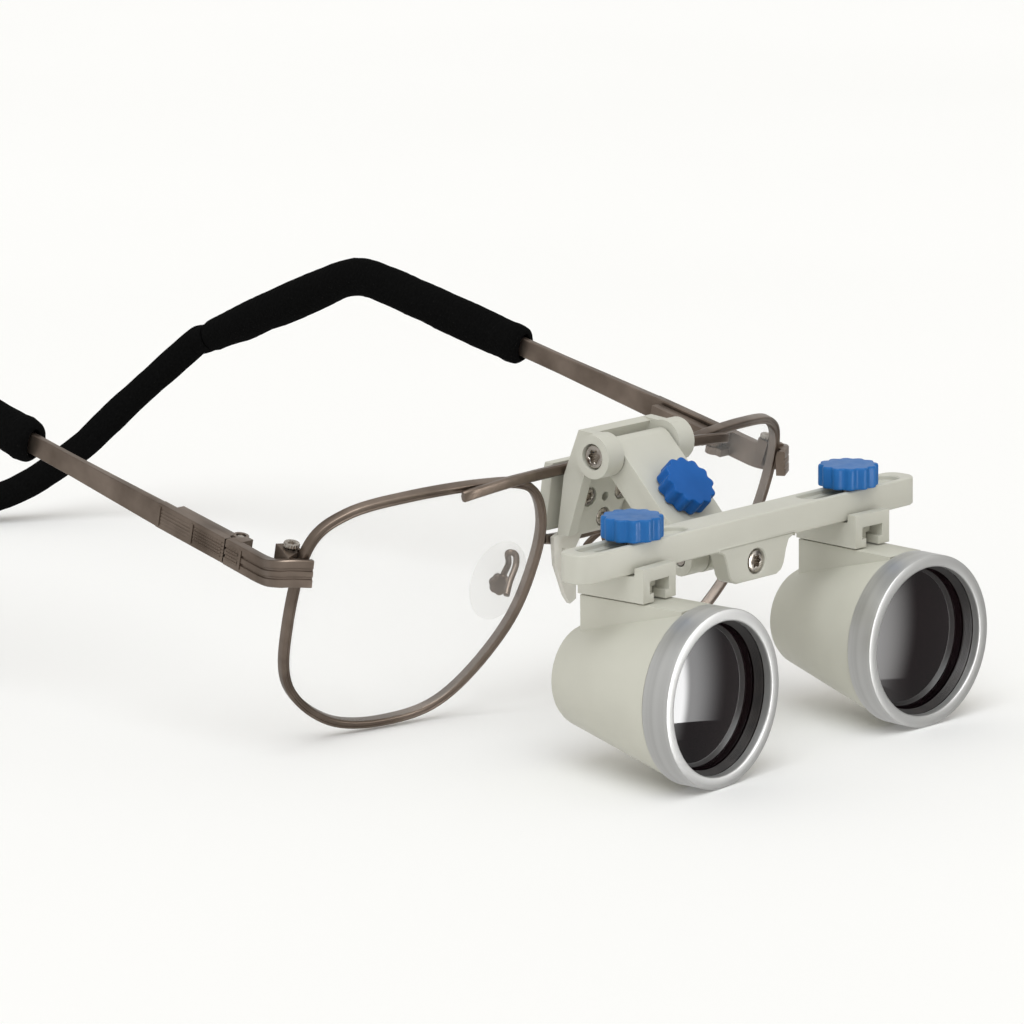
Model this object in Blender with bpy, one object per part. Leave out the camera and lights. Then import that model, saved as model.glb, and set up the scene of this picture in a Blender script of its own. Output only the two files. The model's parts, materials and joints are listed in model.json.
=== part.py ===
"""Flip-up dental loupes on a spectacle frame, with a head strap.

The design is in millimetres: X towards the wearer's left, Y back from the front face of the
loupes, Z up from the table that the loupes and the spectacle rims stand on. Each solid is
turned into metres when it is made, and moved so that Y = 0 is the middle of the footprint,
with the strap left out.
A piece's origin is on the axis that it turns or slides on.
"""
import math

import bmesh
import bpy
from mathutils import Matrix, Vector

MM = 0.001
GAP = 0.3
MIDDLE_Y = 114.655
SIDES = {"left": 1, "right": -1}
X_AXIS = Vector((1, 0, 0))
Y_AXIS = Vector((0, 1, 0))
Z_AXIS = Vector((0, 0, 1))

# Binocular barrels: a tapered housing with a flat pad on top and a metal ring in front.
RING_R = 16.1
RING_WIDTH = 5.5
RING_OPENING_R = 14.2
BARREL_LENGTH = 32.0
BARREL_FRONT_R = 15.7
BARREL_REAR_R = 9.4
WORKING_DISTANCE = 500.0
BARREL_HALF_SPACING = 28.65
TOE_IN = math.atan(BARREL_HALF_SPACING / WORKING_DISTANCE)
PAD_HALF = 4.2
PAD_TOP = 31.7
RAIL_NECK_HALF = 1.3
RAIL_HALF = 2.3

# Slide bar across both barrels, and the slider that hangs each barrel from it.
BAR_HALF = 46.3
BAR_CORNER_R = 2.6
BAR_FRONT = 16.9
BAR_BACK = 23.7
BAR_BOTTOM = 36.9
BAR_TOP = 42.2
SLOT_Y = 20.3
SLOT_X = BARREL_HALF_SPACING + SLOT_Y * math.tan(TOE_IN)
SLOT_HALF_WIDTH = 1.6
BOSS_HALF = 2.9
PD_TRAVEL = 5.0
SLIDER_HALF = 4.6
KNOB_R = 5.6
KNOB_HEIGHT = 4.1
KNOB_LOBES = 12

# Flip hinge (top, on the bridge bracket) and tilt hinge (bottom, behind the slide bar).
FLIP = Vector((0, 46.4, 50.8))
TILT = Vector((0, 29.3, 33.2))
ARM_HALF = 7.2
ARM_TOP_R = 2.8
ARM_END_R = 3.0
LUG_HALF = 2.05
EAR_IN = 7.6
EAR_OUT = 10.0
EAR_BOSS_OUT = 11.8
EAR_BOSS_R = 4.1
LOCK_DISTANCE = 12.6

# Spectacle front.
LENS_CENTRE = Vector((38.7, 66.9, 24.35))
LENS_LEAN = math.radians(21.0)
LENS_WRAP = math.radians(12.0)
BASE_CURVE_R = 125.0
RIM_DEEP = 1.1
RIM_WIDE = 0.95
LENS_OUTLINE = (
    (-25.0, 15.5), (-18.0, 22.0), (-5.0, 24.4), (10.0, 24.4), (21.5, 22.0), (26.2, 15.0), (26.2, 5.0),
    (22.5, -8.0), (12.0, -21.5), (0.0, -24.6), (-13.0, -22.6), (-23.5, -13.5), (-26.4, 0.0),
)

# Temples: a straight bar, an ear bend and a tip, on a hinge at the end piece.
HINGE = Vector((65.1, 84.2, 37.4))
TEMPLE_RISE = math.radians(13.2)
EAR_BEND = math.radians(36.0)
BEND_START = 96.0
BEND_R = 22.0
TIP_LENGTH = 34.0
END_PIECE_HALF_UP = 2.5
TEMPLE_HALF_UP = 2.4
SLEEVE_START = 55.0
SLEEVE_END_R = 3.5
STRAP_R = 3.1

FINISHES = {
    "grey_plastic": ((0.58, 0.57, 0.52), 0.0, 0.42),
    "blue_plastic": ((0.01, 0.16, 0.52), 0.0, 0.35),
    "gunmetal": ((0.17, 0.13, 0.115), 0.9, 0.38),
    "turned_aluminium": ((0.62, 0.63, 0.64), 1.0, 0.32),
    "steel": ((0.55, 0.53, 0.50), 1.0, 0.25),
    "black_anodised": ((0.015, 0.011, 0.01), 0.3, 0.45),
    "glass": ((0.85, 0.9, 0.92), 0.0, 0.03),
    "clear_silicone": ((0.85, 0.85, 0.82), 0.0, 0.2),
    "clear_plastic": ((0.72, 0.71, 0.64), 0.0, 0.3),
    "black_fabric": ((0.006, 0.006, 0.006), 0.0, 0.9),
}


def clear_scene():
    for obj in list(bpy.data.objects):
        bpy.data.objects.remove(obj, do_unlink=True)


def finish_material(name):
    if name in bpy.data.materials:
        return bpy.data.materials[name]
    colour, metallic, roughness = FINISHES[name]
    material = bpy.data.materials.new(name)
    material.use_nodes = True
    shader = material.node_tree.nodes["Principled BSDF"]
    shader.inputs["Base Color"].default_value = (*colour, 1.0)
    shader.inputs["Metallic"].default_value = metallic
    shader.inputs["Roughness"].default_value = roughness
    return material


def make(name, bm, finish, pivot=(0, 0, 0)):
    """One named solid with its origin on its pivot."""
    pivot = Vector(pivot)
    bmesh.ops.recalc_face_normals(bm, faces=bm.faces)
    for vert in bm.verts:
        vert.co = (vert.co - pivot) * MM
    mesh = bpy.data.meshes.new(name)
    bm.to_mesh(mesh)
    bm.free()
    mesh.shade_smooth()
    mesh.set_sharp_from_angle(angle=math.radians(35))
    obj = bpy.data.objects.new(name, mesh)
    obj.location = (pivot - Y_AXIS * MIDDLE_Y) * MM
    if finish:
        mesh.materials.append(finish_material(finish))
    bpy.context.scene.collection.objects.link(obj)
    return obj


def combine(obj, bm, operation="DIFFERENCE"):
    """Cut or join one more shape with a Boolean; the shape stays as a hidden guide."""
    guide = make(f"{obj.name}_guide_{len(obj.modifiers)}", bm, None)
    guide.hide_render = True
    guide.hide_set(True)
    guide.display_type = "WIRE"
    modifier = obj.modifiers.new(guide.name, "BOOLEAN")
    modifier.operation = operation
    modifier.object = guide
    return obj


def bevel(obj, width, segments=1, angle=40):
    modifier = obj.modifiers.new("edges", "BEVEL")
    modifier.width = width * MM
    modifier.segments = segments
    modifier.limit_method = "ANGLE"
    modifier.angle_limit = math.radians(angle)


def prism(outline, axis, low, high):
    """Extrude a closed outline; the outline's pairs are (y, z) for X, (x, z) for Y, (x, y) for Z."""
    place = {
        "X": lambda a, b, c: (c, a, b),
        "Y": lambda a, b, c: (a, c, b),
        "Z": lambda a, b, c: (a, b, c),
    }[axis]
    bm = bmesh.new()
    face = bm.faces.new([bm.verts.new(place(a, b, low)) for a, b in outline])
    result = bmesh.ops.extrude_face_region(bm, geom=[face])
    moved = [item for item in result["geom"] if isinstance(item, bmesh.types.BMVert)]
    bmesh.ops.translate(bm, verts=moved, vec=Vector(place(0, 0, high - low)))
    return bm


def box(low, high):
    (x0, y0, z0), (x1, y1, z1) = low, high
    return prism([(x0, y0), (x1, y0), (x1, y1), (x0, y1)], "Z", z0, z1)


def skin(rings, closed=False):
    """A solid through rings of points: capped at both ends, or closed on itself."""
    bm = bmesh.new()
    loops = [[bm.verts.new(point) for point in ring] for ring in rings]
    count = len(loops[0])
    pairs = list(zip(loops, loops[1:]))
    if closed:
        pairs.append((loops[-1], loops[0]))
    else:
        bm.faces.new(loops[0])
        bm.faces.new(loops[-1])
    for first, second in pairs:
        for i in range(count):
            j = (i + 1) % count
            bm.faces.new((first[i], first[j], second[j], second[i]))
    return bm


def turned(profile, steps=40):
    """A turned solid about the Y axis from a closed profile of (radius, y) points."""
    bm = bmesh.new()
    columns = []
    for radius, along in profile:
        if radius == 0:
            columns.append([bm.verts.new((0, along, 0))] * steps)
            continue
        ring = []
        for k in range(steps):
            turn = math.tau * k / steps
            ring.append(bm.verts.new((radius * math.cos(turn), along, radius * math.sin(turn))))
        columns.append(ring)
    for first, second in zip(columns, columns[1:] + columns[:1]):
        for i in range(steps):
            j = (i + 1) % steps
            corners = [first[i], first[j], second[j], second[i]]
            corners = [c for n, c in enumerate(corners) if c is not corners[n - 1]]
            if len(corners) > 2:
                bm.faces.new(corners)
    return bm


def moved(bm, matrix):
    bm.transform(matrix)
    return bm


def along_axis(direction, base):
    """The matrix that takes a shape turned about Y to one about a direction, from a base point."""
    turn = Y_AXIS.rotation_difference(Vector(direction).normalized())
    return Matrix.Translation(Vector(base)) @ turn.to_matrix().to_4x4()


def pin(radius, start, end, steps=16):
    start, end = Vector(start), Vector(end)
    length = (end - start).length
    profile = [(0, 0), (radius, 0), (radius, length), (0, length)]
    return moved(turned(profile, steps), along_axis(end - start, start))


def screw(head_r, head_h, shank_r, shank_length, head_top, direction, socket_r):
    """A socket-head screw: direction points from the head into the work."""
    socket = head_h * 0.6
    profile = [
        (0, socket), (socket_r, socket), (socket_r, 0), (head_r * 0.86, 0), (head_r, head_h * 0.25),
        (head_r, head_h), (shank_r, head_h), (shank_r, head_h + shank_length), (0, head_h + shank_length),
    ]
    return moved(turned(profile, 12), along_axis(direction, head_top))


def stadium(half_length, half_width, centre=(0, 0), steps=8):
    points = []
    straight = half_length - half_width
    for side, start in ((1, -90), (-1, 90)):
        for k in range(steps + 1):
            turn = math.radians(start + 180 * k / steps)
            x = centre[0] + side * straight + half_width * math.cos(turn)
            points.append((x, centre[1] + half_width * math.sin(turn)))
    return points


def circle(radius, centre, steps=20):
    turns = [math.tau * k / steps for k in range(steps)]
    return [(centre[0] + radius * math.cos(t), centre[1] + radius * math.sin(t)) for t in turns]


def smooth_loop(anchors, per_span):
    """A closed Catmull-Rom curve through the anchors."""
    points = []
    count = len(anchors)
    for i in range(count):
        p0, p1, p2, p3 = (Vector(anchors[(i + k) % count]) for k in (-1, 0, 1, 2))
        for k in range(per_span):
            points.append(spline_point(p0, p1, p2, p3, k / per_span))
    return points


def smooth_path(anchors, per_span):
    """An open Catmull-Rom curve through the anchors, ends included."""
    ends = [Vector(anchors[0]) * 2 - Vector(anchors[1]), *map(Vector, anchors)]
    ends.append(Vector(anchors[-1]) * 2 - Vector(anchors[-2]))
    points = []
    for i in range(len(anchors) - 1):
        for k in range(per_span):
            points.append(spline_point(*ends[i:i + 4], k / per_span))
    points.append(Vector(anchors[-1]))
    return points


def spline_point(p0, p1, p2, p3, t):
    return 0.5 * (
        2 * p1 + (p2 - p0) * t + (2 * p0 - 5 * p1 + 4 * p2 - p3) * t * t
        + (3 * p1 - p0 - 3 * p2 + p3) * t * t * t
    )


def section_ring(point, ahead, up, section):
    """Place a flat section of (side, up) pairs square to a path."""
    ahead = ahead.normalized()
    side = ahead.cross(up).normalized()
    top = side.cross(ahead)
    return [point + side * a + top * b for a, b in section]


def sweep(path, section_at, up=Z_AXIS, closed=False):
    """Sweep a section along a path; section_at gives it for the share of the path done."""
    rings = []
    count = len(path)
    for i, point in enumerate(path):
        before = path[i - 1] if closed or i else path[0]
        after = path[(i + 1) % count] if closed or i < count - 1 else path[-1]
        rings.append(section_ring(point, after - before, up, section_at(i / (count - 1))))
    return skin(rings, closed)


def oval(half_side, half_up, steps=10):
    turns = [math.tau * (k + 0.5) / steps for k in range(steps)]
    return [(half_side * math.cos(t), half_up * math.sin(t)) for t in turns]


def bar_section(half_side, half_up, corner):
    """A rectangle with cut corners."""
    s, u, c = half_side, half_up, corner
    upper = [(s, u - c), (s - c, u), (c - s, u), (-s, u - c)]
    return upper + [(-x, -y) for x, y in upper]


# ---------------------------------------------------------------- barrels

def barrel_matrix(side):
    centre = Vector((side * BARREL_HALF_SPACING, 0, RING_R))
    return Matrix.Translation(centre) @ Matrix.Rotation(-side * TOE_IN, 4, "Z")


def make_barrel(label, side):
    place = barrel_matrix(side)
    origin = place.translation
    top = PAD_TOP - RING_R
    outer = [
        (0, RING_WIDTH + GAP), (BARREL_FRONT_R, RING_WIDTH + GAP), (BARREL_REAR_R, BARREL_LENGTH - 1.0),
        (BARREL_REAR_R - 0.6, BARREL_LENGTH), (0, BARREL_LENGTH),
    ]
    housing = make(f"barrel_{label}", moved(turned(outer, 48), place), "grey_plastic", origin)
    pad = box((-PAD_HALF, RING_WIDTH + GAP + 0.2, 6), (PAD_HALF, BARREL_LENGTH - 3, top))
    combine(housing, moved(pad, place), "UNION")
    rail = [
        (RAIL_NECK_HALF, top - 0.5), (RAIL_NECK_HALF, top + 2.2), (RAIL_HALF, top + 2.2),
        (RAIL_HALF, top + 3.5),
    ]
    rail = rail + [(-x, z) for x, z in reversed(rail)]
    combine(housing, moved(prism(rail, "Y", 17.0, 28.0), place), "UNION")
    cavity = [
        (0, 0), (14.6, 0), (14.6, 7.5), (12.9, 7.5), (12.6, 9.0), (7.3, 26.0), (6.2, 27.5), (6.2, 29.2),
        (7.0, 29.2), (7.0, BARREL_LENGTH + 1), (0, BARREL_LENGTH + 1),
    ]
    combine(housing, moved(turned(cavity, 40), place))

    inner = RING_R - 1.5
    ring = [
        (RING_R - 0.5, 0), (RING_R, 0.5), (RING_R, RING_WIDTH), (inner, RING_WIDTH), (inner, 1.6),
        (RING_OPENING_R, 1.6), (RING_OPENING_R, 0.4), (RING_OPENING_R + 0.4, 0),
    ]
    make(f"front_ring_{label}", moved(turned(ring, 56), place), "turned_aluminium", origin)

    sleeve_r = inner - GAP
    sleeve = [
        (13.6, 1.9), (sleeve_r, 1.9), (sleeve_r, 7.2), (12.6, 7.2), (12.6, 5.5), (13.7, 5.5),
        (13.7, 2.9), (13.4, 2.4),
    ]
    make(f"lens_sleeve_{label}", moved(turned(sleeve, 40), place), "black_anodised", origin)

    objective_r = 13.4
    objective = [
        (0, 1.9), (5.0, 2.13), (9.5, 2.75), (objective_r, 3.6), (objective_r, 5.2), (12.3, 5.2),
        (11.8, 9.6), (9.8, 14.2), (6.0, 15.1), (0, 15.5),
    ]
    make(f"objective_lens_{label}", moved(turned(objective, 32), place), "glass", origin)

    eyepiece_r = 6.7
    eyepiece = [(0, 30.0), (3.6, 29.86), (eyepiece_r, 29.5), (eyepiece_r, 31.4), (3.6, 30.96), (0, 30.8)]
    make(f"eyepiece_lens_{label}", moved(turned(eyepiece, 24), place), "glass", origin)


# ---------------------------------------------------------------- slide bar and sliders

def lobed_outline(radius, lobes, depth, per_lobe=6):
    points = []
    steps = lobes * per_lobe
    for k in range(steps):
        turn = math.tau * k / steps
        reach = radius - depth * (1 + math.cos(lobes * turn)) / 2
        points.append((reach * math.cos(turn), reach * math.sin(turn)))
    return points


def knob_shape(radius, height):
    """A scalloped knob standing on Z = 0."""
    outline = lobed_outline(radius, KNOB_LOBES, 0.65)
    rings = []
    for share, z in ((0.95, 0), (1.0, 0.4), (1.0, height - 0.4), (0.94, height)):
        rings.append([(x * share, y * share, z) for x, y in outline])
    return skin(rings)


def make_thumb_knob(name, base, direction, radius, height):
    """A knob whose underside is at base, with a blind bore there for its stud."""
    upright = Z_AXIS.rotation_difference(direction).to_matrix().to_4x4()
    place = Matrix.Translation(base) @ upright
    knob = make(name, moved(knob_shape(radius, height), place), "blue_plastic", base)
    combine(knob, moved(prism(circle(1.5, (0, 0), 12), "Z", -1, 2.6), place))
    return place


def rounded_plan(half_length, front, back, corner):
    """A rectangle in (x, y) with round corners."""
    points = []
    corners = ((1, back, 0), (-1, back, 90), (-1, front, 180), (1, front, 270))
    for side, edge, start in corners:
        inward = -1 if edge == back else 1
        for k in range(6):
            turn = math.radians(start + 18 * k)
            x = side * (half_length - corner) + corner * math.cos(turn)
            points.append((x, edge + inward * corner + corner * math.sin(turn)))
    return points


def make_slide_bar():
    blank = prism(rounded_plan(BAR_HALF, BAR_FRONT, BAR_BACK, BAR_CORNER_R), "Z", BAR_BOTTOM, BAR_TOP)
    bar = make("slide_bar", blank, "grey_plastic", TILT)
    drop = [
        (-10.4, BAR_BOTTOM + 0.5), (-10.4, BAR_BOTTOM), (-9.0, 36.2), (-8.3, 34.6), (-7.6, 32.0),
        (-6.9, 30.9), (-5.6, 30.3),
    ]
    drop = drop + [(-x, z) for x, z in reversed(drop)]
    combine(bar, prism(drop, "Y", BAR_FRONT, 20.6), "UNION")
    for side in SIDES.values():
        centre = (side * SLOT_X, SLOT_Y)
        combine(bar, prism(stadium(13.5, 2.4, centre), "Z", BAR_TOP - 1.1, BAR_TOP + 1))
        half = BOSS_HALF + PD_TRAVEL + GAP
        low = (centre[0] - half, SLOT_Y - SLOT_HALF_WIDTH, BAR_BOTTOM - 1)
        high = (centre[0] + half, SLOT_Y + SLOT_HALF_WIDTH, BAR_TOP)
        combine(bar, box(low, high))
    combine(bar, pin(2.4, (0, BAR_FRONT - 1, 33.6), (0, BAR_FRONT + 1.5, 33.6), 20))
    combine(bar, pin(1.3, (0, BAR_FRONT, 33.6), (0, 22, 33.6), 12))
    bevel(bar, 0.5)
    make("bar_screw", screw(2.1, 1.3, 1.0, 5.6, (0, BAR_FRONT + 0.1, 33.6), Y_AXIS, 1.0), "steel", TILT)


def make_slider(label, side):
    place = barrel_matrix(side)
    origin = Vector((side * SLOT_X, SLOT_Y, BAR_TOP))
    low = PAD_TOP + GAP - RING_R
    body_top = BAR_BOTTOM - GAP - RING_R
    lip_top = 38.2 - RING_R
    body = [(14.2, low), (29.2, low), (29.2, body_top), (16.2, body_top), (16.2, lip_top), (14.2, lip_top)]
    body_shape = moved(prism(body, "X", -SLIDER_HALF, SLIDER_HALF), place)
    slider = make(f"slider_{label}", body_shape, "grey_plastic", origin)
    boss_low = (side * SLOT_X - BOSS_HALF, SLOT_Y - 1.3, BAR_BOTTOM - 1)
    boss_high = (side * SLOT_X + BOSS_HALF, SLOT_Y + 1.3, 40.8)
    combine(slider, box(boss_low, boss_high), "UNION")
    wide, neck = RAIL_HALF + 0.4, RAIL_NECK_HALF + 0.35
    slot = [
        (neck, low - 1), (neck, low + 1.5), (wide, low + 1.5), (wide, low + 3.8), (-wide, low + 3.8),
        (-wide, low + 1.5), (-neck, low + 1.6), (-neck, low - 1),
    ]
    combine(slider, moved(prism(slot, "Y", 13, 31), place))
    combine(slider, pin(1.45, (side * SLOT_X, SLOT_Y, 34.5), (side * SLOT_X, SLOT_Y, 42), 12))

    base = Vector((side * SLOT_X, SLOT_Y, BAR_TOP + GAP))
    make_thumb_knob(f"pd_knob_{label}", base, Z_AXIS, KNOB_R, KNOB_HEIGHT)
    stud = pin(1.15, (side * SLOT_X, SLOT_Y, 36.4), (side * SLOT_X, SLOT_Y, BAR_TOP + 2.6), 12)
    make(f"pd_knob_stud_{label}", stud, "steel", base)


# ---------------------------------------------------------------- flip arm and tilt hinge

def arm_outline():
    """A tapered slab with a round end on each hinge axis, in (y, z)."""
    top, end = (FLIP.y, FLIP.z), (TILT.y, TILT.z)
    heading = math.atan2(end[1] - top[1], end[0] - top[0])
    points = []
    ends = ((top, ARM_TOP_R, heading + math.pi / 2), (end, ARM_END_R, heading - math.pi / 2))
    for (y, z), radius, start in ends:
        for k in range(11):
            turn = start + math.pi * k / 10
            points.append((y + radius * math.cos(turn), z + radius * math.sin(turn)))
    return points


def make_arm():
    arm = make("flip_arm", prism(arm_outline(), "X", -ARM_HALF, ARM_HALF), "grey_plastic", FLIP)
    reach = ARM_END_R + 1.2
    fork = prism(circle(reach, (TILT.y, TILT.z), 24), "X", -LUG_HALF - GAP, LUG_HALF + GAP)
    combine(arm, fork)
    combine(arm, pin(1.5, FLIP - X_AXIS * 9, FLIP + X_AXIS * 9, 14))
    combine(arm, pin(1.3, TILT - X_AXIS * 9, TILT + X_AXIS * 9, 14))
    down = (TILT - FLIP).normalized()
    outward = down.cross(X_AXIS)
    foot = FLIP + down * LOCK_DISTANCE
    combine(arm, pin(1.5, foot - outward * 5, foot + outward * 5, 14))
    bevel(arm, 0.35)

    base = foot + outward * (ARM_TOP_R + 0.1 + GAP)
    place = make_thumb_knob("tilt_lock_knob", base, outward, 5.4, 3.6)
    stud = pin(1.15, place @ Vector((0, 0, 2.3)), foot - outward * 3.4, 12)
    make("tilt_lock_stud", stud, "steel", base)

    make("tilt_pin", pin(1.0, TILT - X_AXIS * 7, TILT + X_AXIS * 7, 14), "steel", TILT)

    lug = make("tilt_lug", box((-4.2, 20.9, 30.6), (4.2, 22.9, 36.3)), "grey_plastic", TILT)
    eye = circle(ARM_END_R + 0.1, (TILT.y, TILT.z), 20)
    combine(lug, prism(eye, "X", -LUG_HALF, LUG_HALF), "UNION")
    combine(lug, box((-LUG_HALF, 21.5, 31.4), (LUG_HALF, TILT.y, 35.2)), "UNION")
    combine(lug, pin(1.3, TILT - X_AXIS * 5, TILT + X_AXIS * 5, 14))
    combine(lug, pin(1.3, (0, 20, 33.6), (0, 25.2, 33.6), 12))

    for label, side in SIDES.items():
        head = FLIP + X_AXIS * side * (EAR_BOSS_OUT - 0.3)
        make(f"flip_screw_{label}", screw(2.2, 1.2, 1.2, 8.0, head, -X_AXIS * side, 1.15), "steel", FLIP)


# ---------------------------------------------------------------- bridge bracket

WALL_REAR = ((51.4, 55.0), (55.2, 46.0), (57.0, 34.6))
WALL_LEAN = Vector((0, WALL_REAR[2][0] - WALL_REAR[1][0], WALL_REAR[2][1] - WALL_REAR[1][1])).normalized()
WALL_NORMAL = X_AXIS.cross(WALL_LEAN)
CLIP_THICKNESS = 1.0
CLAMP_SCREWS = {"upper_left": (4.4, 41.5), "upper_right": (-4.4, 41.5), "lower": (0.0, 37.0)}


def wall_point(x, z, depth):
    """A point on the bracket's rear face, moved forwards by a depth."""
    (y1, z1), (y2, z2) = WALL_REAR[1:]
    y = y1 + (y2 - y1) * (z1 - z) / (z1 - z2)
    return Vector((x, y, z)) - WALL_NORMAL * depth


def make_bracket():
    ear = [*WALL_REAR, (54.3, 34.6), (50.0, 46.9), (44.8, 47.1), (44.6, 54.5)]
    yoke = make("bridge_bracket", prism(ear, "X", EAR_IN, EAR_OUT), "grey_plastic", FLIP)
    combine(yoke, prism(ear, "X", -EAR_OUT, -EAR_IN), "UNION")
    wall = [*WALL_REAR, (55.0, 34.6), (53.3, 45.6), (49.6, 54.4)]
    combine(yoke, prism(wall, "X", -EAR_IN - 0.5, EAR_IN + 0.5), "UNION")
    for side in SIDES.values():
        boss = pin(EAR_BOSS_R, FLIP + X_AXIS * side * EAR_IN, FLIP + X_AXIS * side * EAR_BOSS_OUT, 28)
        combine(yoke, boss, "UNION")
        seat = FLIP + X_AXIS * side * (EAR_BOSS_OUT - 1.6)
        combine(yoke, pin(2.5, seat, seat + X_AXIS * side * 3, 20))
        combine(yoke, pin(1.5, seat - X_AXIS * side * 5, seat + X_AXIS * side, 14))
    clear_corner = [(6.4, 41.0), (2.9, 34.0), (EAR_IN, 34.0), (EAR_IN, 41.0)]
    combine(yoke, prism(clear_corner, "Y", 53, 58))
    for x, z in CLAMP_SCREWS.values():
        combine(yoke, pin(1.9, wall_point(x, z, 1.2), wall_point(x, z, 4), 16))
        combine(yoke, pin(1.05, wall_point(x, z, -1), wall_point(x, z, 4), 12))
    combine(yoke, pin(0.9, wall_point(0, 40.9, -1), wall_point(0, 40.9, 4), 12))
    bevel(yoke, 0.3)


def make_clamp():
    front = wall_point(0, 46.0, -2.1)
    foot = wall_point(0, 34.8, -2.1)
    profile = [
        (front.y - 0.2, 48.2), (front.y, front.z), (foot.y, foot.z), (foot.y + 2.4, foot.z),
        (front.y + 2.4, front.z), (front.y + 1.8, 48.2),
    ]
    clamp = make("rear_clamp", prism(profile, "X", -11.0, 11.0), "grey_plastic", (0, 58, 42))
    pad_top = wall_point(0, 44.6, -CLIP_THICKNESS - 2 * GAP)
    pad_foot = wall_point(0, 36.4, -CLIP_THICKNESS - 2 * GAP)
    pad = [(pad_top.y, 44.6), (pad_foot.y, 36.4), (pad_foot.y + 1.5, 36.4), (pad_top.y + 1.5, 44.6)]
    combine(clamp, prism(pad, "X", -6.5, 6.5), "UNION")
    for x, z in CLAMP_SCREWS.values():
        combine(clamp, pin(1.05, wall_point(x, z, 1), wall_point(x, z, -6), 12))
    bevel(clamp, 0.4)

    clip = [
        (-6.8, 43.8), (-6.8, 35.4), (-10.6, 34.0), (-10.2, 28.8), (-7.6, 22.4), (-6.3, 20.7), (-4.6, 21.4),
        (-4.6, 31.2), (-3.0, 33.4),
    ]
    clip = clip + [(-x, z) for x, z in reversed(clip)]
    tab_path = [wall_point(0, z, -GAP) for z in (44.0, 34.4)] + [Vector((0, 57.35, 20.5))]
    sheet = [(p.y, p.z) for p in tab_path] + [(p.y + CLIP_THICKNESS, p.z) for p in reversed(tab_path)]
    tab = make("retaining_clip", prism(sheet, "X", -12, 12), "clear_plastic", (0, 60, 36))
    combine(tab, prism(clip, "Y", 50, 65), "INTERSECT")
    for x, z in CLAMP_SCREWS.values():
        combine(tab, pin(1.05, wall_point(x, z, 1), wall_point(x, z, -8), 12))
    for side in SIDES.values():
        slot = [(side * 8.3, 31.6), (side * 7.4, 31.6), (side * 7.2, 28.4), (side * 8.1, 28.4)]
        combine(tab, prism(slot, "Y", 50, 65))

    for label, (x, z) in CLAMP_SCREWS.items():
        head = wall_point(x, z, 1.9)
        shape = screw(1.6, 0.65, 0.8, 4.6, head, WALL_NORMAL, 0.75)
        make(f"clamp_screw_{label}", shape, "steel", head)


# ---------------------------------------------------------------- spectacle front

def lens_matrix(side):
    """From lens coordinates (u to the nose, v up, w forwards) to the design's."""
    forward = Vector((
        side * math.sin(LENS_WRAP) * math.cos(LENS_LEAN),
        -math.cos(LENS_WRAP) * math.cos(LENS_LEAN),
        -math.sin(LENS_LEAN),
    ))
    across = forward.cross(Z_AXIS).normalized() * -side
    across = -across if across.x * side > 0 else across
    upward = forward.cross(across) * side
    upward = -upward if upward.z < 0 else upward
    centre = Vector((side * LENS_CENTRE.x, LENS_CENTRE.y, LENS_CENTRE.z))
    columns = Matrix((across, upward, forward)).transposed().to_4x4()
    return Matrix.Translation(centre) @ columns


def lens_point(side, u, v, w=0.0):
    """A point on the lens's curved surface, moved forwards by w."""
    middle = 24.0
    drop = (u * u + v * v - middle * middle) / (2 * BASE_CURVE_R)
    return lens_matrix(side) @ Vector((u, v, w - drop))


def rim_path(side, per_span=4):
    return [lens_point(side, u, v) for u, v in smooth_loop(LENS_OUTLINE, per_span)]


def rim_sweep(side, extra=0.0, per_span=4):
    forward = lens_matrix(side).to_3x3() @ Z_AXIS
    section = bar_section(RIM_WIDE + extra, RIM_DEEP + extra, 0.4)
    return sweep(rim_path(side, per_span), lambda share: section, forward, True)


def make_rim(label, side):
    centre = lens_matrix(side).translation
    make(f"rim_{label}", rim_sweep(side), "gunmetal", centre)

    shares = (1.0, 0.55)
    inset = RIM_WIDE + GAP
    outline = smooth_loop(LENS_OUTLINE, 3)
    middle = (0.4, 0.3)
    bm = bmesh.new()
    sides = []
    for depth in (0.8, -0.8):
        rings = []
        for share in shares:
            ring = []
            for u, v in outline:
                reach = math.hypot(u - middle[0], v - middle[1])
                scale = share * (reach - inset) / reach
                across, upward = middle[0] + (u - middle[0]) * scale, middle[1] + (v - middle[1]) * scale
                ring.append(bm.verts.new(lens_point(side, across, upward, depth)))
            rings.append(ring)
        rings.append([bm.verts.new(lens_point(side, *middle, depth))] * len(outline))
        sides.append(rings)
    bands = [(sides[0][0], sides[1][0])]
    for rings in sides:
        bands += list(zip(rings, rings[1:]))
    count = len(outline)
    for first, second in bands:
        for i in range(count):
            j = (i + 1) % count
            corners = [first[i], first[j], second[j]]
            if second[i] is not second[j]:
                corners.append(second[i])
            bm.faces.new(corners)
    make(f"plano_lens_{label}", bm, "glass", centre)


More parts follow.
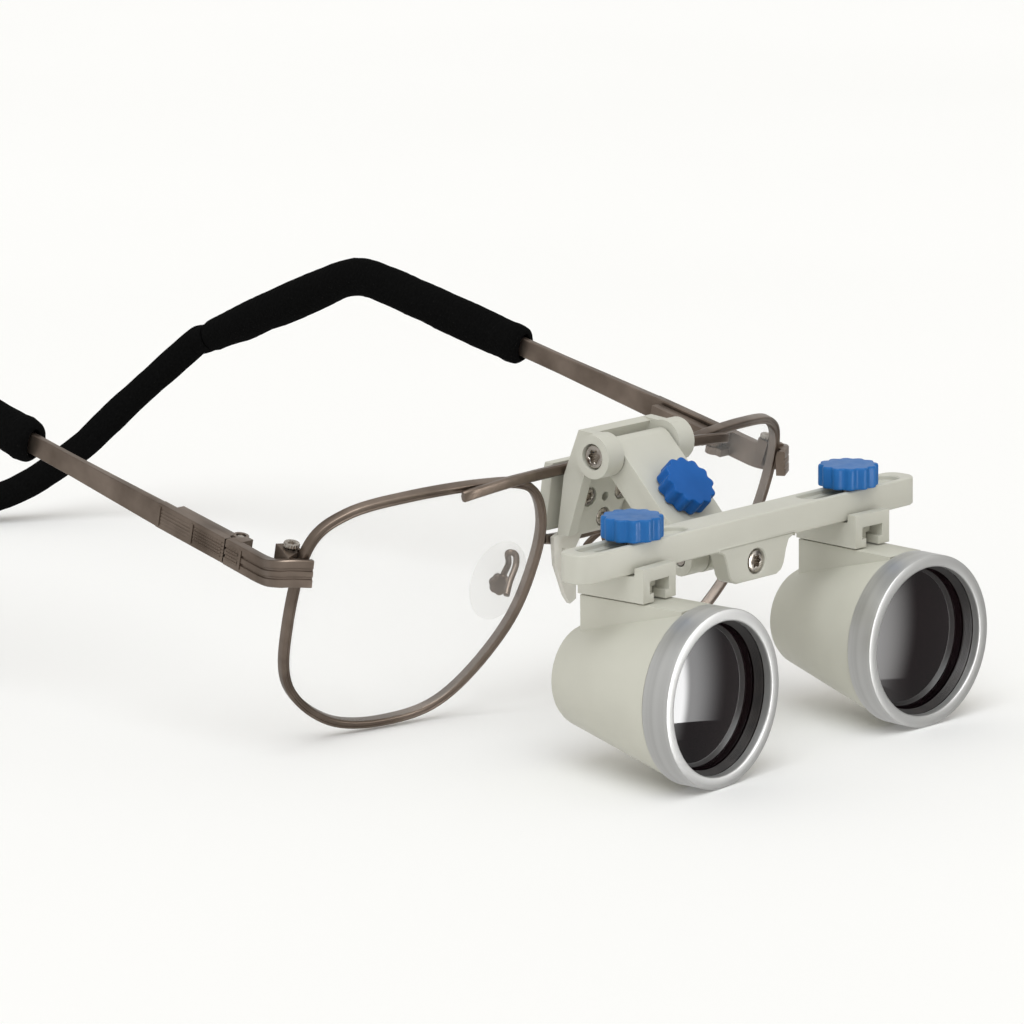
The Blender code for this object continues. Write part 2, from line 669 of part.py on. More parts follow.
def make_bridges():
    half_path = [(36.0, 55.9, 46.0), (33.0, 55.2, 46.5), (24.0, 54.7, 47.2), (12.0, 56.05, 47.0)]
    half_path.append((0.0, 56.05, 47.0))
    anchors = half_path + [(-x, y, z) for x, y, z in reversed(half_path[:-1])]
    section = bar_section(0.75, 1.0, 0.3)
    bar = make("brow_bar", sweep(smooth_path(anchors, 3), lambda share: section), "gunmetal", (0, 56, 47))
    lower = [(12.6, 58.4, 34.2), (9.6, 59.4, 33.3), (0, 59.7, 33.0)]
    lower += [(-x, y, z) for x, y, z in reversed(lower[:-1])]
    section_low = bar_section(0.7, 0.95, 0.25)
    low_sweep = sweep(smooth_path(lower, 2), lambda share: section_low)
    bridge = make("lower_bridge", low_sweep, "gunmetal", (0, 58, 33))
    for side in SIDES.values():
        combine(bar, rim_sweep(side, GAP, 3))
        combine(bridge, rim_sweep(side, GAP, 3))


# ---------------------------------------------------------------- end pieces and temples

def hinge_matrix(side):
    """From hinge coordinates (x outwards, t along the temple, a along the hinge pin)."""
    along = Vector((0, math.cos(TEMPLE_RISE), math.sin(TEMPLE_RISE)))
    pin_axis = Vector((0, -math.sin(TEMPLE_RISE), math.cos(TEMPLE_RISE)))
    columns = Matrix((X_AXIS * side, along, pin_axis)).transposed().to_4x4()
    return Matrix.Translation(Vector((side * HINGE.x, HINGE.y, HINGE.z))) @ columns


def ribbed_section(half_side, half_up, outer, groove=0.3):
    """A flat bar whose outer face has three ribs; outer is the sign of that face."""
    edge = half_side * outer
    dip = (half_side - groove) * outer
    u = half_up
    face = [
        (edge, u * 0.92), (edge, u * 0.42), (dip, u * 0.36), (dip, u * 0.24), (edge, u * 0.18),
        (edge, -u * 0.18), (dip, -u * 0.24), (dip, -u * 0.36), (edge, -u * 0.42), (edge, -u * 0.92),
    ]
    return [*face, (edge * 0.8, -u), (-edge, -u), (-edge, u), (edge * 0.8, u)]


def make_end_piece(label, side):
    place = hinge_matrix(side)
    back = place @ Vector((2.9, -0.15, 0))
    bend = place @ Vector((3.1, -9.5, 0))
    start = lens_point(side, -25.0, 12.2, 2.45)
    corner = lens_point(side, -28.4, 12.2, 2.1)
    path = smooth_path([start, corner, (corner * 2 + bend) / 3 + X_AXIS * side * 1.3, bend, back], 5)
    section = ribbed_section(0.95, END_PIECE_HALF_UP, side)
    piece = make(f"end_piece_{label}", sweep(path, lambda share: section), "gunmetal", back)
    block = ((-25.2, -3.6), (-25.2, -1.2), (-28.8, 1.2), (-28.8, -3.6))
    rings = [[lens_point(side, u, v, w) for u, w in block] for v in (9.6, 14.8)]
    combine(piece, skin(rings), "UNION")
    for low, high in ((-2.5, -1.0), (1.0, 2.5)):
        eye = prism(circle(1.5, (0, 0), 16), "Z", low, high)
        combine(piece, moved(eye, place), "UNION")
        neck = box((-0.6, -2.6, low), (2.4, -0.35, high))
        combine(piece, moved(neck, place), "UNION")
    combine(piece, moved(prism(circle(0.95, (0, 0), 12), "Z", -4, 4), place))
    combine(piece, rim_sweep(side, GAP, 3))
    screw_foot = lens_point(side, -26.7, 10.4, -2.1)
    screw_head = lens_point(side, -26.7, 15.8, -2.1)
    down = (screw_foot - screw_head).normalized()
    combine(piece, pin(1.05, screw_foot, screw_head, 12))
    return screw_head, down


def make_hinge_side(label, side):
    place = hinge_matrix(side)
    origin = place.translation
    screw_head, down = make_end_piece(label, side)
    lock = screw(1.5, 0.7, 0.75, 4.2, screw_head - down * 0.05, down, 0.6)
    make(f"rim_lock_screw_{label}", lock, "steel", screw_head)

    def temple_section(share):
        if share < 0.16:
            return ribbed_section(0.95, TEMPLE_HALF_UP, side, 0.25)
        taper = min(1.0, (share - 0.16) / 0.2)
        return ribbed_section(0.95 - 0.3 * taper, TEMPLE_HALF_UP - 0.1 - 0.35 * taper, side, 0.02)

    path = temple_path(side)
    bar = sweep(path, temple_section, place.to_3x3() @ Z_AXIS)
    temple = make(f"temple_{label}", bar, "gunmetal", origin)
    lug = prism(circle(1.5, (0, 0), 16), "Z", -0.7, 0.7)
    box_shape = box((-1.1, 2.0, -1.7), (1.35, 16.5, 1.7))
    hinge_box = make(f"spring_hinge_{label}", moved(box_shape, place), "gunmetal", origin)
    combine(hinge_box, moved(lug, place), "UNION")
    combine(hinge_box, moved(box((-0.7, 0.0, -0.7), (1.0, 2.4, 0.7)), place), "UNION")
    combine(hinge_box, moved(prism(circle(0.95, (0, 0), 12), "Z", -2, 2), place))
    pin_shape = moved(pin(0.65, (0, 0, -2.3), (0, 0, 2.3), 10), place)
    make(f"hinge_pin_{label}", pin_shape, "steel", origin)
    return temple


def temple_local(distance):
    """The temple's centre line in hinge coordinates at a distance from its front end."""
    inward = 2.9 - 0.018 * distance - 0.00006 * distance * distance
    if distance < BEND_START:
        return Vector((inward, distance, 0))
    turn = min((distance - BEND_START) / BEND_R, EAR_BEND)
    t = BEND_START + BEND_R * math.sin(turn)
    a = -BEND_R * (1 - math.cos(turn))
    rest = distance - BEND_START - BEND_R * turn
    t += rest * math.cos(EAR_BEND)
    a -= rest * math.sin(EAR_BEND)
    return Vector((inward, t, a))


def temple_path(side):
    place = hinge_matrix(side)
    bend_end = BEND_START + BEND_R * EAR_BEND
    stops = [0.15, 9.0, 18.4, 18.6, 24.0, 32.0, 44.0, 70.0, BEND_START]
    stops += [BEND_START + BEND_R * EAR_BEND * k / 5 for k in range(1, 6)]
    stops += [bend_end + TIP_LENGTH * 0.5, bend_end + TIP_LENGTH]
    return [place @ temple_local(stop) for stop in stops]


# ---------------------------------------------------------------- head strap

def sleeve_end():
    return BEND_START + BEND_R * EAR_BEND + TIP_LENGTH + 7.0


def make_sleeve(label, side):
    """A padded sock over the temple's ear end: open in front, closed behind."""
    place = hinge_matrix(side)
    origin = place.translation
    up = place.to_3x3() @ Z_AXIS
    end = sleeve_end()
    stops = [SLEEVE_START, SLEEVE_START + 1.2, SLEEVE_START + 12, 80.0, BEND_START]
    stops += [BEND_START + BEND_R * EAR_BEND * k / 5 for k in range(1, 6)]
    stops += [124.0, 136.0, end - 2.0, end]
    outer = [(3.4, 3.9), (3.9, 4.4), (3.9, 4.4), (3.7, 4.1), (3.7, 4.1)]
    outer += [(3.7, 4.1)] * 5
    outer += [(3.7, 4.1), (3.7, 4.2), (SLEEVE_END_R, 3.8), (SLEEVE_END_R - 0.5, SLEEVE_END_R - 0.4)]
    inner_end = BEND_START + BEND_R * EAR_BEND + TIP_LENGTH + 1.0
    inner_stops = [stop for stop in stops if stop < inner_end] + [inner_end]

    def ring_at(stop, half_side, half_up):
        ahead = place @ temple_local(stop + 0.5) - place @ temple_local(stop - 0.5)
        return section_ring(place @ temple_local(stop), ahead, up, oval(half_side, half_up, 12))

    rings = [ring_at(stop, *size) for stop, size in reversed(list(zip(stops, outer)))]
    rings += [ring_at(stop, 1.6, 2.9) for stop in inner_stops]
    make(f"temple_sleeve_{label}", skin(rings), "black_fabric", origin)


STRAP_ROUTE = (
    (56.5, 247.0, 27.5), (49.0, 256.0, 16.5), (40.5, 264.5, 8.4), (32.0, 272.0, 4.2), (22.5, 278.5, 3.2),
    (12.0, 282.8, 3.2), (4.0, 283.9, 3.2), (0.2, 283.9, 3.2),
)


def make_strap(label, side):
    """Half of the strap, as a round tube from the sleeve to the middle of the loop behind."""
    place = hinge_matrix(side)
    end = sleeve_end()
    anchors = [place @ temple_local(end + ahead) for ahead in (GAP, 3.0, 6.0)]
    anchors += [Vector((side * x, y, z)) for x, y, z in STRAP_ROUTE]
    points = smooth_path(anchors, 3)
    shift = Y_AXIS * MIDDLE_Y
    curve = bpy.data.curves.new(f"head_strap_{label}", "CURVE")
    curve.dimensions = "3D"
    curve.bevel_depth = STRAP_R * MM
    curve.bevel_resolution = 2
    curve.use_fill_caps = True
    spline = curve.splines.new("POLY")
    spline.points.add(len(points) - 1)
    for slot, point in zip(spline.points, points):
        slot.co = (*((point - shift) * MM), 1)
    curve.materials.append(finish_material("black_fabric"))
    strap = bpy.data.objects.new(f"head_strap_{label}", curve)
    bpy.context.scene.collection.objects.link(strap)


# ---------------------------------------------------------------- nose pads

PAD_CENTRE = Vector((10.8, 71.4, 23.6))
PAD_SPLAY = math.radians(32)
PAD_FLARE = math.radians(24)
PAD_LEAN = math.radians(20)
PAD_WIRE = (
    (16.6, 63.9, 23.2), (14.5, 64.9, 25.4), (12.5, 65.3, 28.0), (12.1, 65.8, 29.9), (12.9, 66.9, 30.1),
)


def pad_matrix(side):
    """From pad coordinates (x across, y towards the nose, z up the pad)."""
    turn = Matrix.Rotation(side * PAD_SPLAY, 4, "Z") @ Matrix.Rotation(PAD_LEAN, 4, "X")
    turn = Matrix.Rotation(-side * PAD_FLARE, 4, "Y") @ turn
    centre = Vector((side * PAD_CENTRE.x, PAD_CENTRE.y, PAD_CENTRE.z))
    return Matrix.Translation(centre) @ turn


def make_nose_pad(label, side):
    place = pad_matrix(side)
    origin = place.translation
    rings = []
    for share, depth in ((0.55, 0.0), (0.92, 0.3), (1.0, 1.1), (0.9, 1.9), (0.5, 2.5)):
        rings.append([place @ Vector((5.0 * share * math.cos(t), depth, 7.9 * share * math.sin(t)))
                      for t in (math.tau * k / 20 for k in range(20))])
    pad = make(f"nose_pad_{label}", skin(rings), "clear_silicone", origin)
    combine(pad, moved(box((-1.15, -0.5, -1.15), (1.15, 1.3, 1.15)), place))

    stem = moved(box((-0.8, -0.6, -0.8), (0.8, 0.95, 0.8)), place)
    holder = moved(prism(circle(2.1, (0, 0), 16), "Y", -2.0, -0.35), place)
    stem_piece = make(f"nose_pad_box_{label}", holder, "gunmetal", origin)
    combine(stem_piece, stem, "UNION")
    bevel(stem_piece, 0.3)

    join = place @ Vector((0, -2.9, 0.2))
    anchors = [Vector((side * x, y, z)) for x, y, z in PAD_WIRE]
    anchors += [join + Vector((0, -0.9, 2.4)), join]
    section = oval(0.6, 0.6, 8)
    foot = anchors[0]
    wire = sweep(smooth_path(anchors, 4), lambda share: section, X_AXIS)
    make(f"nose_pad_arm_{label}", wire, "gunmetal", foot)


def main():
    clear_scene()
    make_slide_bar()
    make_arm()
    make_bracket()
    make_clamp()
    make_bridges()
    for label, side in SIDES.items():
        make_barrel(label, side)
        make_slider(label, side)
        make_rim(label, side)
        make_hinge_side(label, side)
        make_sleeve(label, side)
        make_strap(label, side)
        make_nose_pad(label, side)


main()
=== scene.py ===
"""The looks of the flip-up dental loupes: finer pieces, materials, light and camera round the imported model.

The design is in millimetres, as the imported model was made: Y = 0 on the front face of the loupes. The
function metres() turns a design point into the shared frame.
"""
import json
import math

import bmesh
import bpy
from mathutils import Matrix, Vector, noise

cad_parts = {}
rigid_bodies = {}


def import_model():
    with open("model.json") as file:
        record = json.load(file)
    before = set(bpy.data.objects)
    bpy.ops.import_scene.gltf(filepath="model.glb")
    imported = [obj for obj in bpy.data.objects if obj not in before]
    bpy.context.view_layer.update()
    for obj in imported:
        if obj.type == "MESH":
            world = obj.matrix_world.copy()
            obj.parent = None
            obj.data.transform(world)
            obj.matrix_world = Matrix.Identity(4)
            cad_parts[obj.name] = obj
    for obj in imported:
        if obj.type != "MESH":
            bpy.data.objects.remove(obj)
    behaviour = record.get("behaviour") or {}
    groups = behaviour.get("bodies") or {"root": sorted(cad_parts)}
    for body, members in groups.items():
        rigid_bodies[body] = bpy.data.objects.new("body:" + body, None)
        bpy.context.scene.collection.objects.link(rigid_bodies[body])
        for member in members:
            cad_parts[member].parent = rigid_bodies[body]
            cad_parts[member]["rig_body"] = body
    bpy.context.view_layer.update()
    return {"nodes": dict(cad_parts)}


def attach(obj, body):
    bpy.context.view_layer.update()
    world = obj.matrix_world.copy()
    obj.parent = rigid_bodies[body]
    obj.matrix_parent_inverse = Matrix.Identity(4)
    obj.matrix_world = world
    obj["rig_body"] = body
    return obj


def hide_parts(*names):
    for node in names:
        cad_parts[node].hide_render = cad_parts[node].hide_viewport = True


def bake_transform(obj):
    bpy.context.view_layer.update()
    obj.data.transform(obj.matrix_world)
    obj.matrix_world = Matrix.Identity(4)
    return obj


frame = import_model()
NODES = frame["nodes"]

MM = 0.001
MIDDLE_Y = 114.655
SIDES = {"left": 1, "right": -1}
X_AXIS = Vector((1, 0, 0))
Y_AXIS = Vector((0, 1, 0))
Z_AXIS = Vector((0, 0, 1))

# Light
AMBIENT = 0.72
KEY_POWER = 1.25
CARD_GLOW = 11.0
SIDE_GLOW = 2.4

# Barrels
HALF_SPACING = 28.65
WORKING_DISTANCE = 500.0
RING_R = 16.1
RING_WIDTH = 5.5
TOE_IN = math.atan(HALF_SPACING / WORKING_DISTANCE)

# Hinges of the loupes, and the knobs on them
FLIP = Vector((0, 46.4, 50.8))
TILT = Vector((0, 29.3, 33.2))
LOCK_DISTANCE = 12.6
SLOT_Y = 20.3
SLOT_X = HALF_SPACING + SLOT_Y * math.tan(TOE_IN)
BAR_TOP = 42.2

# Temples and strap
HINGE = Vector((65.1, 84.2, 37.4))
TEMPLE_RISE = math.radians(13.2)
BEND_START, BEND_R, EAR_BEND = 96.0, 22.0, math.radians(36.0)
BEND_END = BEND_START + BEND_R * EAR_BEND
TIP_END = BEND_END + 34.0
SLEEVE_START, SLEEVE_END = 55.0, TIP_END + 7.0
STRAP_R = 3.1
STRAP_ROUTE = (
    (56.5, 247.0, 27.5), (49.0, 256.0, 16.5), (40.5, 264.5, 8.4), (32.0, 272.0, 4.2), (22.5, 278.5, 3.2),
    (12.0, 282.8, 3.2), (4.0, 283.9, 3.2), (0.2, 283.9, 3.2),
)

# Spectacle front
LENS_CENTRE = Vector((38.7, 66.9, 24.35))
LENS_LEAN, LENS_WRAP = math.radians(21.0), math.radians(12.0)
LENS_OUTLINE = (
    (-25.0, 15.5), (-18.0, 22.0), (-5.0, 24.4), (10.0, 24.4), (21.5, 22.0), (26.2, 15.0), (26.2, 5.0),
    (22.5, -8.0), (12.0, -21.5), (0.0, -24.6), (-13.0, -22.6), (-23.5, -13.5), (-26.4, 0.0),
)


def metres(x, y, z):
    return Vector((x, y - MIDDLE_Y, z)) * MM


# ---------------------------------------------------------------- material nodes

class Shader:
    """A Principled material and short ways to add nodes to it."""

    def __init__(self, name, colour, roughness, metallic=0.0, **settings):
        self.material = bpy.data.materials.new(name)
        self.material.use_nodes = True
        self.tree = self.material.node_tree
        self.principled = self.tree.nodes["Principled BSDF"]
        self.set("Base Color", (*colour, 1.0))
        self.set("Roughness", roughness)
        self.set("Metallic", metallic)
        for socket, value in settings.items():
            self.set(socket.replace("_", " "), value)
        self.place = self.add("ShaderNodeTexCoord").outputs["Object"]

    def set(self, socket, value):
        self.principled.inputs[socket].default_value = value

    def add(self, kind, **settings):
        node = self.tree.nodes.new(kind)
        for key, value in settings.items():
            setattr(node, key, value)
        return node

    def link(self, source, target):
        self.tree.links.new(source, target)
        return target

    def math(self, operation, first, second=0.0):
        node = self.add("ShaderNodeMath", operation=operation)
        for socket, value in zip(node.inputs, (first, second)):
            if isinstance(value, (int, float)):
                socket.default_value = value
            else:
                self.link(value, socket)
        return node.outputs[0]

    def mapped(self, scale=(1, 1, 1), turn=(0, 0, 0), offset=(0, 0, 0)):
        """Object coordinates with the offset taken away, then turned, then scaled."""
        moved = self.add("ShaderNodeVectorMath", operation="SUBTRACT")
        self.link(self.place, moved.inputs[0])
        moved.inputs[1].default_value = offset
        turned = self.add("ShaderNodeVectorRotate", rotation_type="EULER_XYZ")
        self.link(moved.outputs[0], turned.inputs["Vector"])
        turned.inputs["Rotation"].default_value = turn
        scaled = self.add("ShaderNodeVectorMath", operation="MULTIPLY")
        self.link(turned.outputs[0], scaled.inputs[0])
        scaled.inputs[1].default_value = scale
        return scaled.outputs[0]

    def noise(self, scale, detail=2.0, vector=None, roughness=0.5):
        node = self.add("ShaderNodeTexNoise")
        node.inputs["Scale"].default_value = scale
        node.inputs["Detail"].default_value = detail
        node.inputs["Roughness"].default_value = roughness
        self.link(vector or self.place, node.inputs["Vector"])
        return node.outputs["Fac"]

    def spread(self, value, low, high, start=0.3, end=0.7):
        """A value in start..end mapped to low..high."""
        node = self.add("ShaderNodeMapRange")
        self.link(value, node.inputs["Value"])
        for socket, number in (("From Min", start), ("From Max", end), ("To Min", low), ("To Max", high)):
            node.inputs[socket].default_value = number
        return node.outputs["Result"]

    def mix(self, factor, first, second):
        node = self.add("ShaderNodeMix", data_type="RGBA")
        self.link(factor, node.inputs["Factor"])
        for socket, colour in ((node.inputs["A"], first), (node.inputs["B"], second)):
            if isinstance(colour, tuple):
                socket.default_value = (*colour, 1.0)
            else:
                self.link(colour, socket)
        return node.outputs["Result"]

    def paint(self, colour):
        self.link(colour, self.principled.inputs["Base Color"])

    def vary_roughness(self, value, low, high):
        self.link(self.spread(value, low, high), self.principled.inputs["Roughness"])

    def bump(self, height, strength, distance):
        node = self.add("ShaderNodeBump")
        node.inputs["Strength"].default_value = strength
        node.inputs["Distance"].default_value = distance
        self.link(height, node.inputs["Height"])
        if self.principled.inputs["Normal"].is_linked:
            self.link(self.principled.inputs["Normal"].links[0].from_socket, node.inputs["Normal"])
        self.link(node.outputs["Normal"], self.principled.inputs["Normal"])


def grey_enamel(name, colour):
    """Satin moulded body: a faint cloudiness, a fine orange peel and slightly greyer worn patches."""
    shader = Shader(name, colour, 0.45, IOR=1.48, Specular_IOR_Level=0.3)
    cloud = shader.noise(60, 3)
    darker = tuple(c * 0.93 for c in colour)
    shader.paint(shader.mix(shader.spread(cloud, 0, 1), colour, darker))
    shader.vary_roughness(shader.noise(220, 3), 0.40, 0.52)
    shader.bump(shader.noise(2600, 2), 0.10, 0.00006)
    return shader


def barrel_enamel(side):
    """The body enamel outside, and a flat black coat inside the tapered bore."""
    colour = (0.60, 0.595, 0.52)
    shader = grey_enamel(f"barrel_enamel_{side}", colour)
    centre = metres(side * HALF_SPACING, 0, RING_R)
    local = shader.mapped((1000, 1000, 1000), (0, 0, side * TOE_IN), centre)
    parts = shader.add("ShaderNodeSeparateXYZ")
    shader.link(local, parts.inputs[0])
    square_x = shader.math("MULTIPLY", parts.outputs["X"], parts.outputs["X"])
    square_z = shader.math("MULTIPLY", parts.outputs["Z"], parts.outputs["Z"])
    radius = shader.math("SQRT", shader.math("ADD", square_x, square_z))
    wall = shader.math("SUBTRACT", 16.15, shader.math("MULTIPLY", parts.outputs["Y"], 0.25))
    inside = shader.math("LESS_THAN", radius, wall)
    painted = shader.principled.inputs["Base Color"].links[0].from_socket
    shader.paint(shader.mix(inside, painted, (0.008, 0.006, 0.006)))
    return shader.material


def blue_plastic(name, colour):
    shader = Shader(name, colour, 0.35, IOR=1.45, Specular_IOR_Level=0.3)
    paler = tuple(min(1, c * 1.2 + 0.004) for c in colour)
    shader.paint(shader.mix(shader.spread(shader.noise(150, 2), 0, 1), colour, paler))
    shader.vary_roughness(shader.noise(500, 3), 0.3, 0.42)
    shader.bump(shader.noise(3000, 2), 0.08, 0.00005)
    return shader.material


def gunmetal():
    """Brown-grey plated metal with a faint brushed grain and worn, lighter patches."""
    shader = Shader("gunmetal", (0.25, 0.20, 0.165), 0.35, 0.85)
    grain = shader.noise(1, 3, shader.mapped((900, 60, 900), (-TEMPLE_RISE, 0, 0)))
    worn = shader.noise(90, 4)
    dark, light = (0.15, 0.115, 0.09), (0.27, 0.215, 0.175)
    shader.paint(shader.mix(shader.spread(worn, 0, 1, 0.35, 0.65), dark, light))
    shader.vary_roughness(grain, 0.3, 0.42)
    shader.bump(grain, 0.12, 0.00004)
    return shader.material


def turned_aluminium(side):
    """Bare metal with the fine rings that a lathe leaves, round the barrel's own axis."""
    shader = Shader(f"turned_aluminium_{side}", (0.56, 0.56, 0.55), 0.25, 0.7)
    centre = metres(side * HALF_SPACING, 0, RING_R)
    local = shader.mapped((1, 1, 1), (0, 0, side * TOE_IN), centre)
    parts = shader.add("ShaderNodeSeparateXYZ")
    shader.link(local, parts.inputs[0])
    square_x = shader.math("MULTIPLY", parts.outputs["X"], parts.outputs["X"])
    square_z = shader.math("MULTIPLY", parts.outputs["Z"], parts.outputs["Z"])
    radius = shader.math("SQRT", shader.math("ADD", square_x, square_z))
    joined = shader.add("ShaderNodeCombineXYZ")
    shader.link(radius, joined.inputs["X"])
    shader.link(parts.outputs["Y"], joined.inputs["Y"])
    lines = shader.noise(7000, 1, joined.outputs[0])
    broad = shader.noise(700, 2, joined.outputs[0])
    shader.paint(shader.mix(shader.spread(broad, 0, 1), (0.50, 0.50, 0.49), (0.60, 0.60, 0.59)))
    shader.vary_roughness(lines, 0.32, 0.42)
    shader.bump(lines, 0.07, 0.00001)
    return shader.material


def bright_steel():
    shader = Shader("bright_steel", (0.50, 0.46, 0.41), 0.2, 1.0)
    spots = shader.noise(800, 3)
    shader.paint(shader.mix(shader.spread(spots, 0, 1), (0.38, 0.34, 0.30), (0.56, 0.52, 0.47)))
    shader.vary_roughness(spots, 0.14, 0.3)
    shader.bump(shader.noise(2500, 2), 0.06, 0.00003)
    return shader.material


def black_coat():
    shader = Shader("black_coat", (0.012, 0.009, 0.008), 0.35, 0.0, Specular_IOR_Level=0.5)
    mottle = shader.noise(400, 3)
    shader.paint(shader.mix(shader.spread(mottle, 0, 1), (0.008, 0.006, 0.006), (0.022, 0.017, 0.015)))
    shader.vary_roughness(mottle, 0.28, 0.42)
    return shader.material


def optical_glass():
    """Coated glass drawn opaque: its almost black colour is painted shade, the dark bore behind seen through
    it (partly the bore's own black coat), with a faint warm tint and a sharp clear reflection.
    """
    shader = Shader("optical_glass", (0.010, 0.006, 0.007), 0.02, 0.0, IOR=1.75)
    # Painted shade of the bore seen through the glass, a little lighter or darker at random.
    depth = shader.noise(35, 2)
    shader.paint(shader.mix(shader.spread(depth, 0, 1), (0.004, 0.002, 0.003), (0.012, 0.006, 0.007)))
    shader.vary_roughness(shader.noise(900, 2), 0.012, 0.03)
    return shader.material


def clear_plastic(name, colour, alpha, roughness):
    shader = Shader(name, colour, roughness, 0.0, Alpha=alpha, IOR=1.46)
    mist = shader.noise(90, 3)
    shader.paint(shader.mix(shader.spread(mist, 0, 1), colour, tuple(c * 0.94 for c in colour)))
    shader.vary_roughness(mist, roughness * 0.7, roughness * 1.3)
    return shader.material


def black_fabric():
    """Knitted sleeve: crossed ribs under a soft fuzz, with almost no shine."""
    shader = Shader("black_fabric", (0.003, 0.003, 0.003), 1.0, 0.0, IOR=1.3)
    shader.set("Specular IOR Level", 0.06)
    waves = []
    for turn in (0.6, -0.6):
        wave = shader.add("ShaderNodeTexWave", bands_direction="Y")
        shader.link(shader.mapped((1, 1, 1), (turn, 0, turn)), wave.inputs["Vector"])
        wave.inputs["Scale"].default_value = 380
        wave.inputs["Distortion"].default_value = 1.2
        waves.append(wave.outputs["Fac"])
    knit = shader.math("MAXIMUM", waves[0], waves[1])
    fuzz = shader.noise(1800, 3)
    shader.paint(shader.mix(fuzz, (0.002, 0.002, 0.002), (0.006, 0.006, 0.006)))
    shader.bump(knit, 0.5, 0.0002)
    shader.bump(fuzz, 0.4, 0.0001)
    return shader.material


def paper_floor():
    shader = Shader("paper_floor", (0.96, 0.96, 0.955), 0.8)
    shader.set("Specular IOR Level", 0.1)
    clouds = shader.noise(3, 2)
    shader.paint(shader.mix(shader.spread(clouds, 0, 1), (0.965, 0.965, 0.96), (0.95, 0.95, 0.943)))
    return shader.material


GREY = grey_enamel("grey_enamel", (0.60, 0.595, 0.525)).material
BARREL = {side: barrel_enamel(side) for side in SIDES.values()}
TURNED = {side: turned_aluminium(side) for side in SIDES.values()}
BLUE = blue_plastic("blue_plastic", (0.0, 0.085, 0.33))
PALE_BLUE = blue_plastic("pale_blue_plastic", (0.012, 0.125, 0.38))
GUNMETAL = gunmetal()
STEEL = bright_steel()
BLACK = black_coat()
GLASS = optical_glass()
LENS_CLEAR = clear_plastic("clear_lens", (0.98, 0.985, 0.98), 0.07, 0.03)
SILICONE = clear_plastic("clear_silicone", (0.90, 0.895, 0.87), 0.13, 0.15)
CLIP = clear_plastic("clip_plastic", (0.82, 0.80, 0.73), 0.85, 0.25)
FABRIC = black_fabric()


# ---------------------------------------------------------------- shapes

def skin(rings, closed=False):
    """A mesh through rings of points: capped at both ends, or closed on itself."""
    bm = bmesh.new()
    loops = [[bm.verts.new(point) for point in ring] for ring in rings]
    count = len(loops[0])
    pairs = list(zip(loops, loops[1:]))
    if closed:
        pairs.append((loops[-1], loops[0]))
    else:
        bm.faces.new(loops[0])
        bm.faces.new(loops[-1])
    for first, second in pairs:
        for i in range(count):
            j = (i + 1) % count
            bm.faces.new((first[i], first[j], second[j], second[i]))
    return bm


def turned(profile, steps=128):
    """A turned solid about the Y axis from a closed profile of (radius, y) points."""
    bm = bmesh.new()
    columns = []
    for radius, along in profile:
        if radius == 0:
            columns.append([bm.verts.new((0, along, 0))] * steps)
            continue
        turns = [math.tau * k / steps for k in range(steps)]
        columns.append([bm.verts.new((radius * math.cos(t), along, radius * math.sin(t))) for t in turns])
    for first, second in zip(columns, columns[1:] + columns[:1]):
        for i in range(steps):
            j = (i + 1) % steps
            corners = [first[i], first[j], second[j], second[i]]
            corners = [c for n, c in enumerate(corners) if c is not corners[n - 1]]
            if len(corners) > 2:
                bm.faces.new(corners)
    return bm


def join(bm, other):
    """Add another shape to this one."""
    mesh = bpy.data.meshes.new("joined")
    other.to_mesh(mesh)
    other.free()
    bm.from_mesh(mesh)
    bpy.data.meshes.remove(mesh)
    return bm


def along_axis(direction, base):
    turn = Y_AXIS.rotation_difference(Vector(direction).normalized())
    return Matrix.Translation(Vector(base)) @ turn.to_matrix().to_4x4()


def moved(bm, matrix):
    bm.transform(matrix)
    return bm


def spline_point(p0, p1, p2, p3, t):
    return 0.5 * (
        2 * p1 + (p2 - p0) * t + (2 * p0 - 5 * p1 + 4 * p2 - p3) * t * t
        + (3 * p1 - p0 - 3 * p2 + p3) * t * t * t
    )


def smooth_loop(anchors, per_span):
    count = len(anchors)
    points = []
    for i in range(count):
        ends = [Vector(anchors[(i + k) % count]) for k in (-1, 0, 1, 2)]
        points += [spline_point(*ends, k / per_span) for k in range(per_span)]
    return points


def smooth_path(anchors, per_span):
    ends = [Vector(anchors[0]) * 2 - Vector(anchors[1]), *map(Vector, anchors)]
    ends.append(Vector(anchors[-1]) * 2 - Vector(anchors[-2]))
    points = []
    for i in range(len(anchors) - 1):
        points += [spline_point(*ends[i:i + 4], k / per_span) for k in range(per_span)]
    points.append(Vector(anchors[-1]))
    return points


def section_ring(point, ahead, up, section):
    ahead = ahead.normalized()
    side = ahead.cross(up).normalized()
    top = side.cross(ahead)
    return [point + side * a + top * b for a, b in section]


def sweep(path, section_at, up=Z_AXIS, closed=False):
    rings = []
    count = len(path)
    for i, point in enumerate(path):
        before = path[i - 1] if closed or i else path[0]
        after = path[(i + 1) % count] if closed or i < count - 1 else path[-1]
        rings.append(section_ring(point, after - before, up, section_at(i / (count - 1))))
    return skin(rings, closed)


def oval(half_side, half_up, steps=24):
    turns = [math.tau * (k + 0.5) / steps for k in range(steps)]
    return [(half_side * math.cos(t), half_up * math.sin(t)) for t in turns]


def rounded(half_side, half_up, corner, steps=4):
    """A rectangle with round corners."""
    points = []
    for a, b, start in ((1, 1, 0), (-1, 1, 90), (-1, -1, 180), (1, -1, 270)):
        for k in range(steps + 1):
            turn = math.radians(start + 90 * k / steps)
            x = a * (half_side - corner) + corner * math.cos(turn)
            points.append((x, b * (half_up - corner) + corner * math.sin(turn)))
    return points


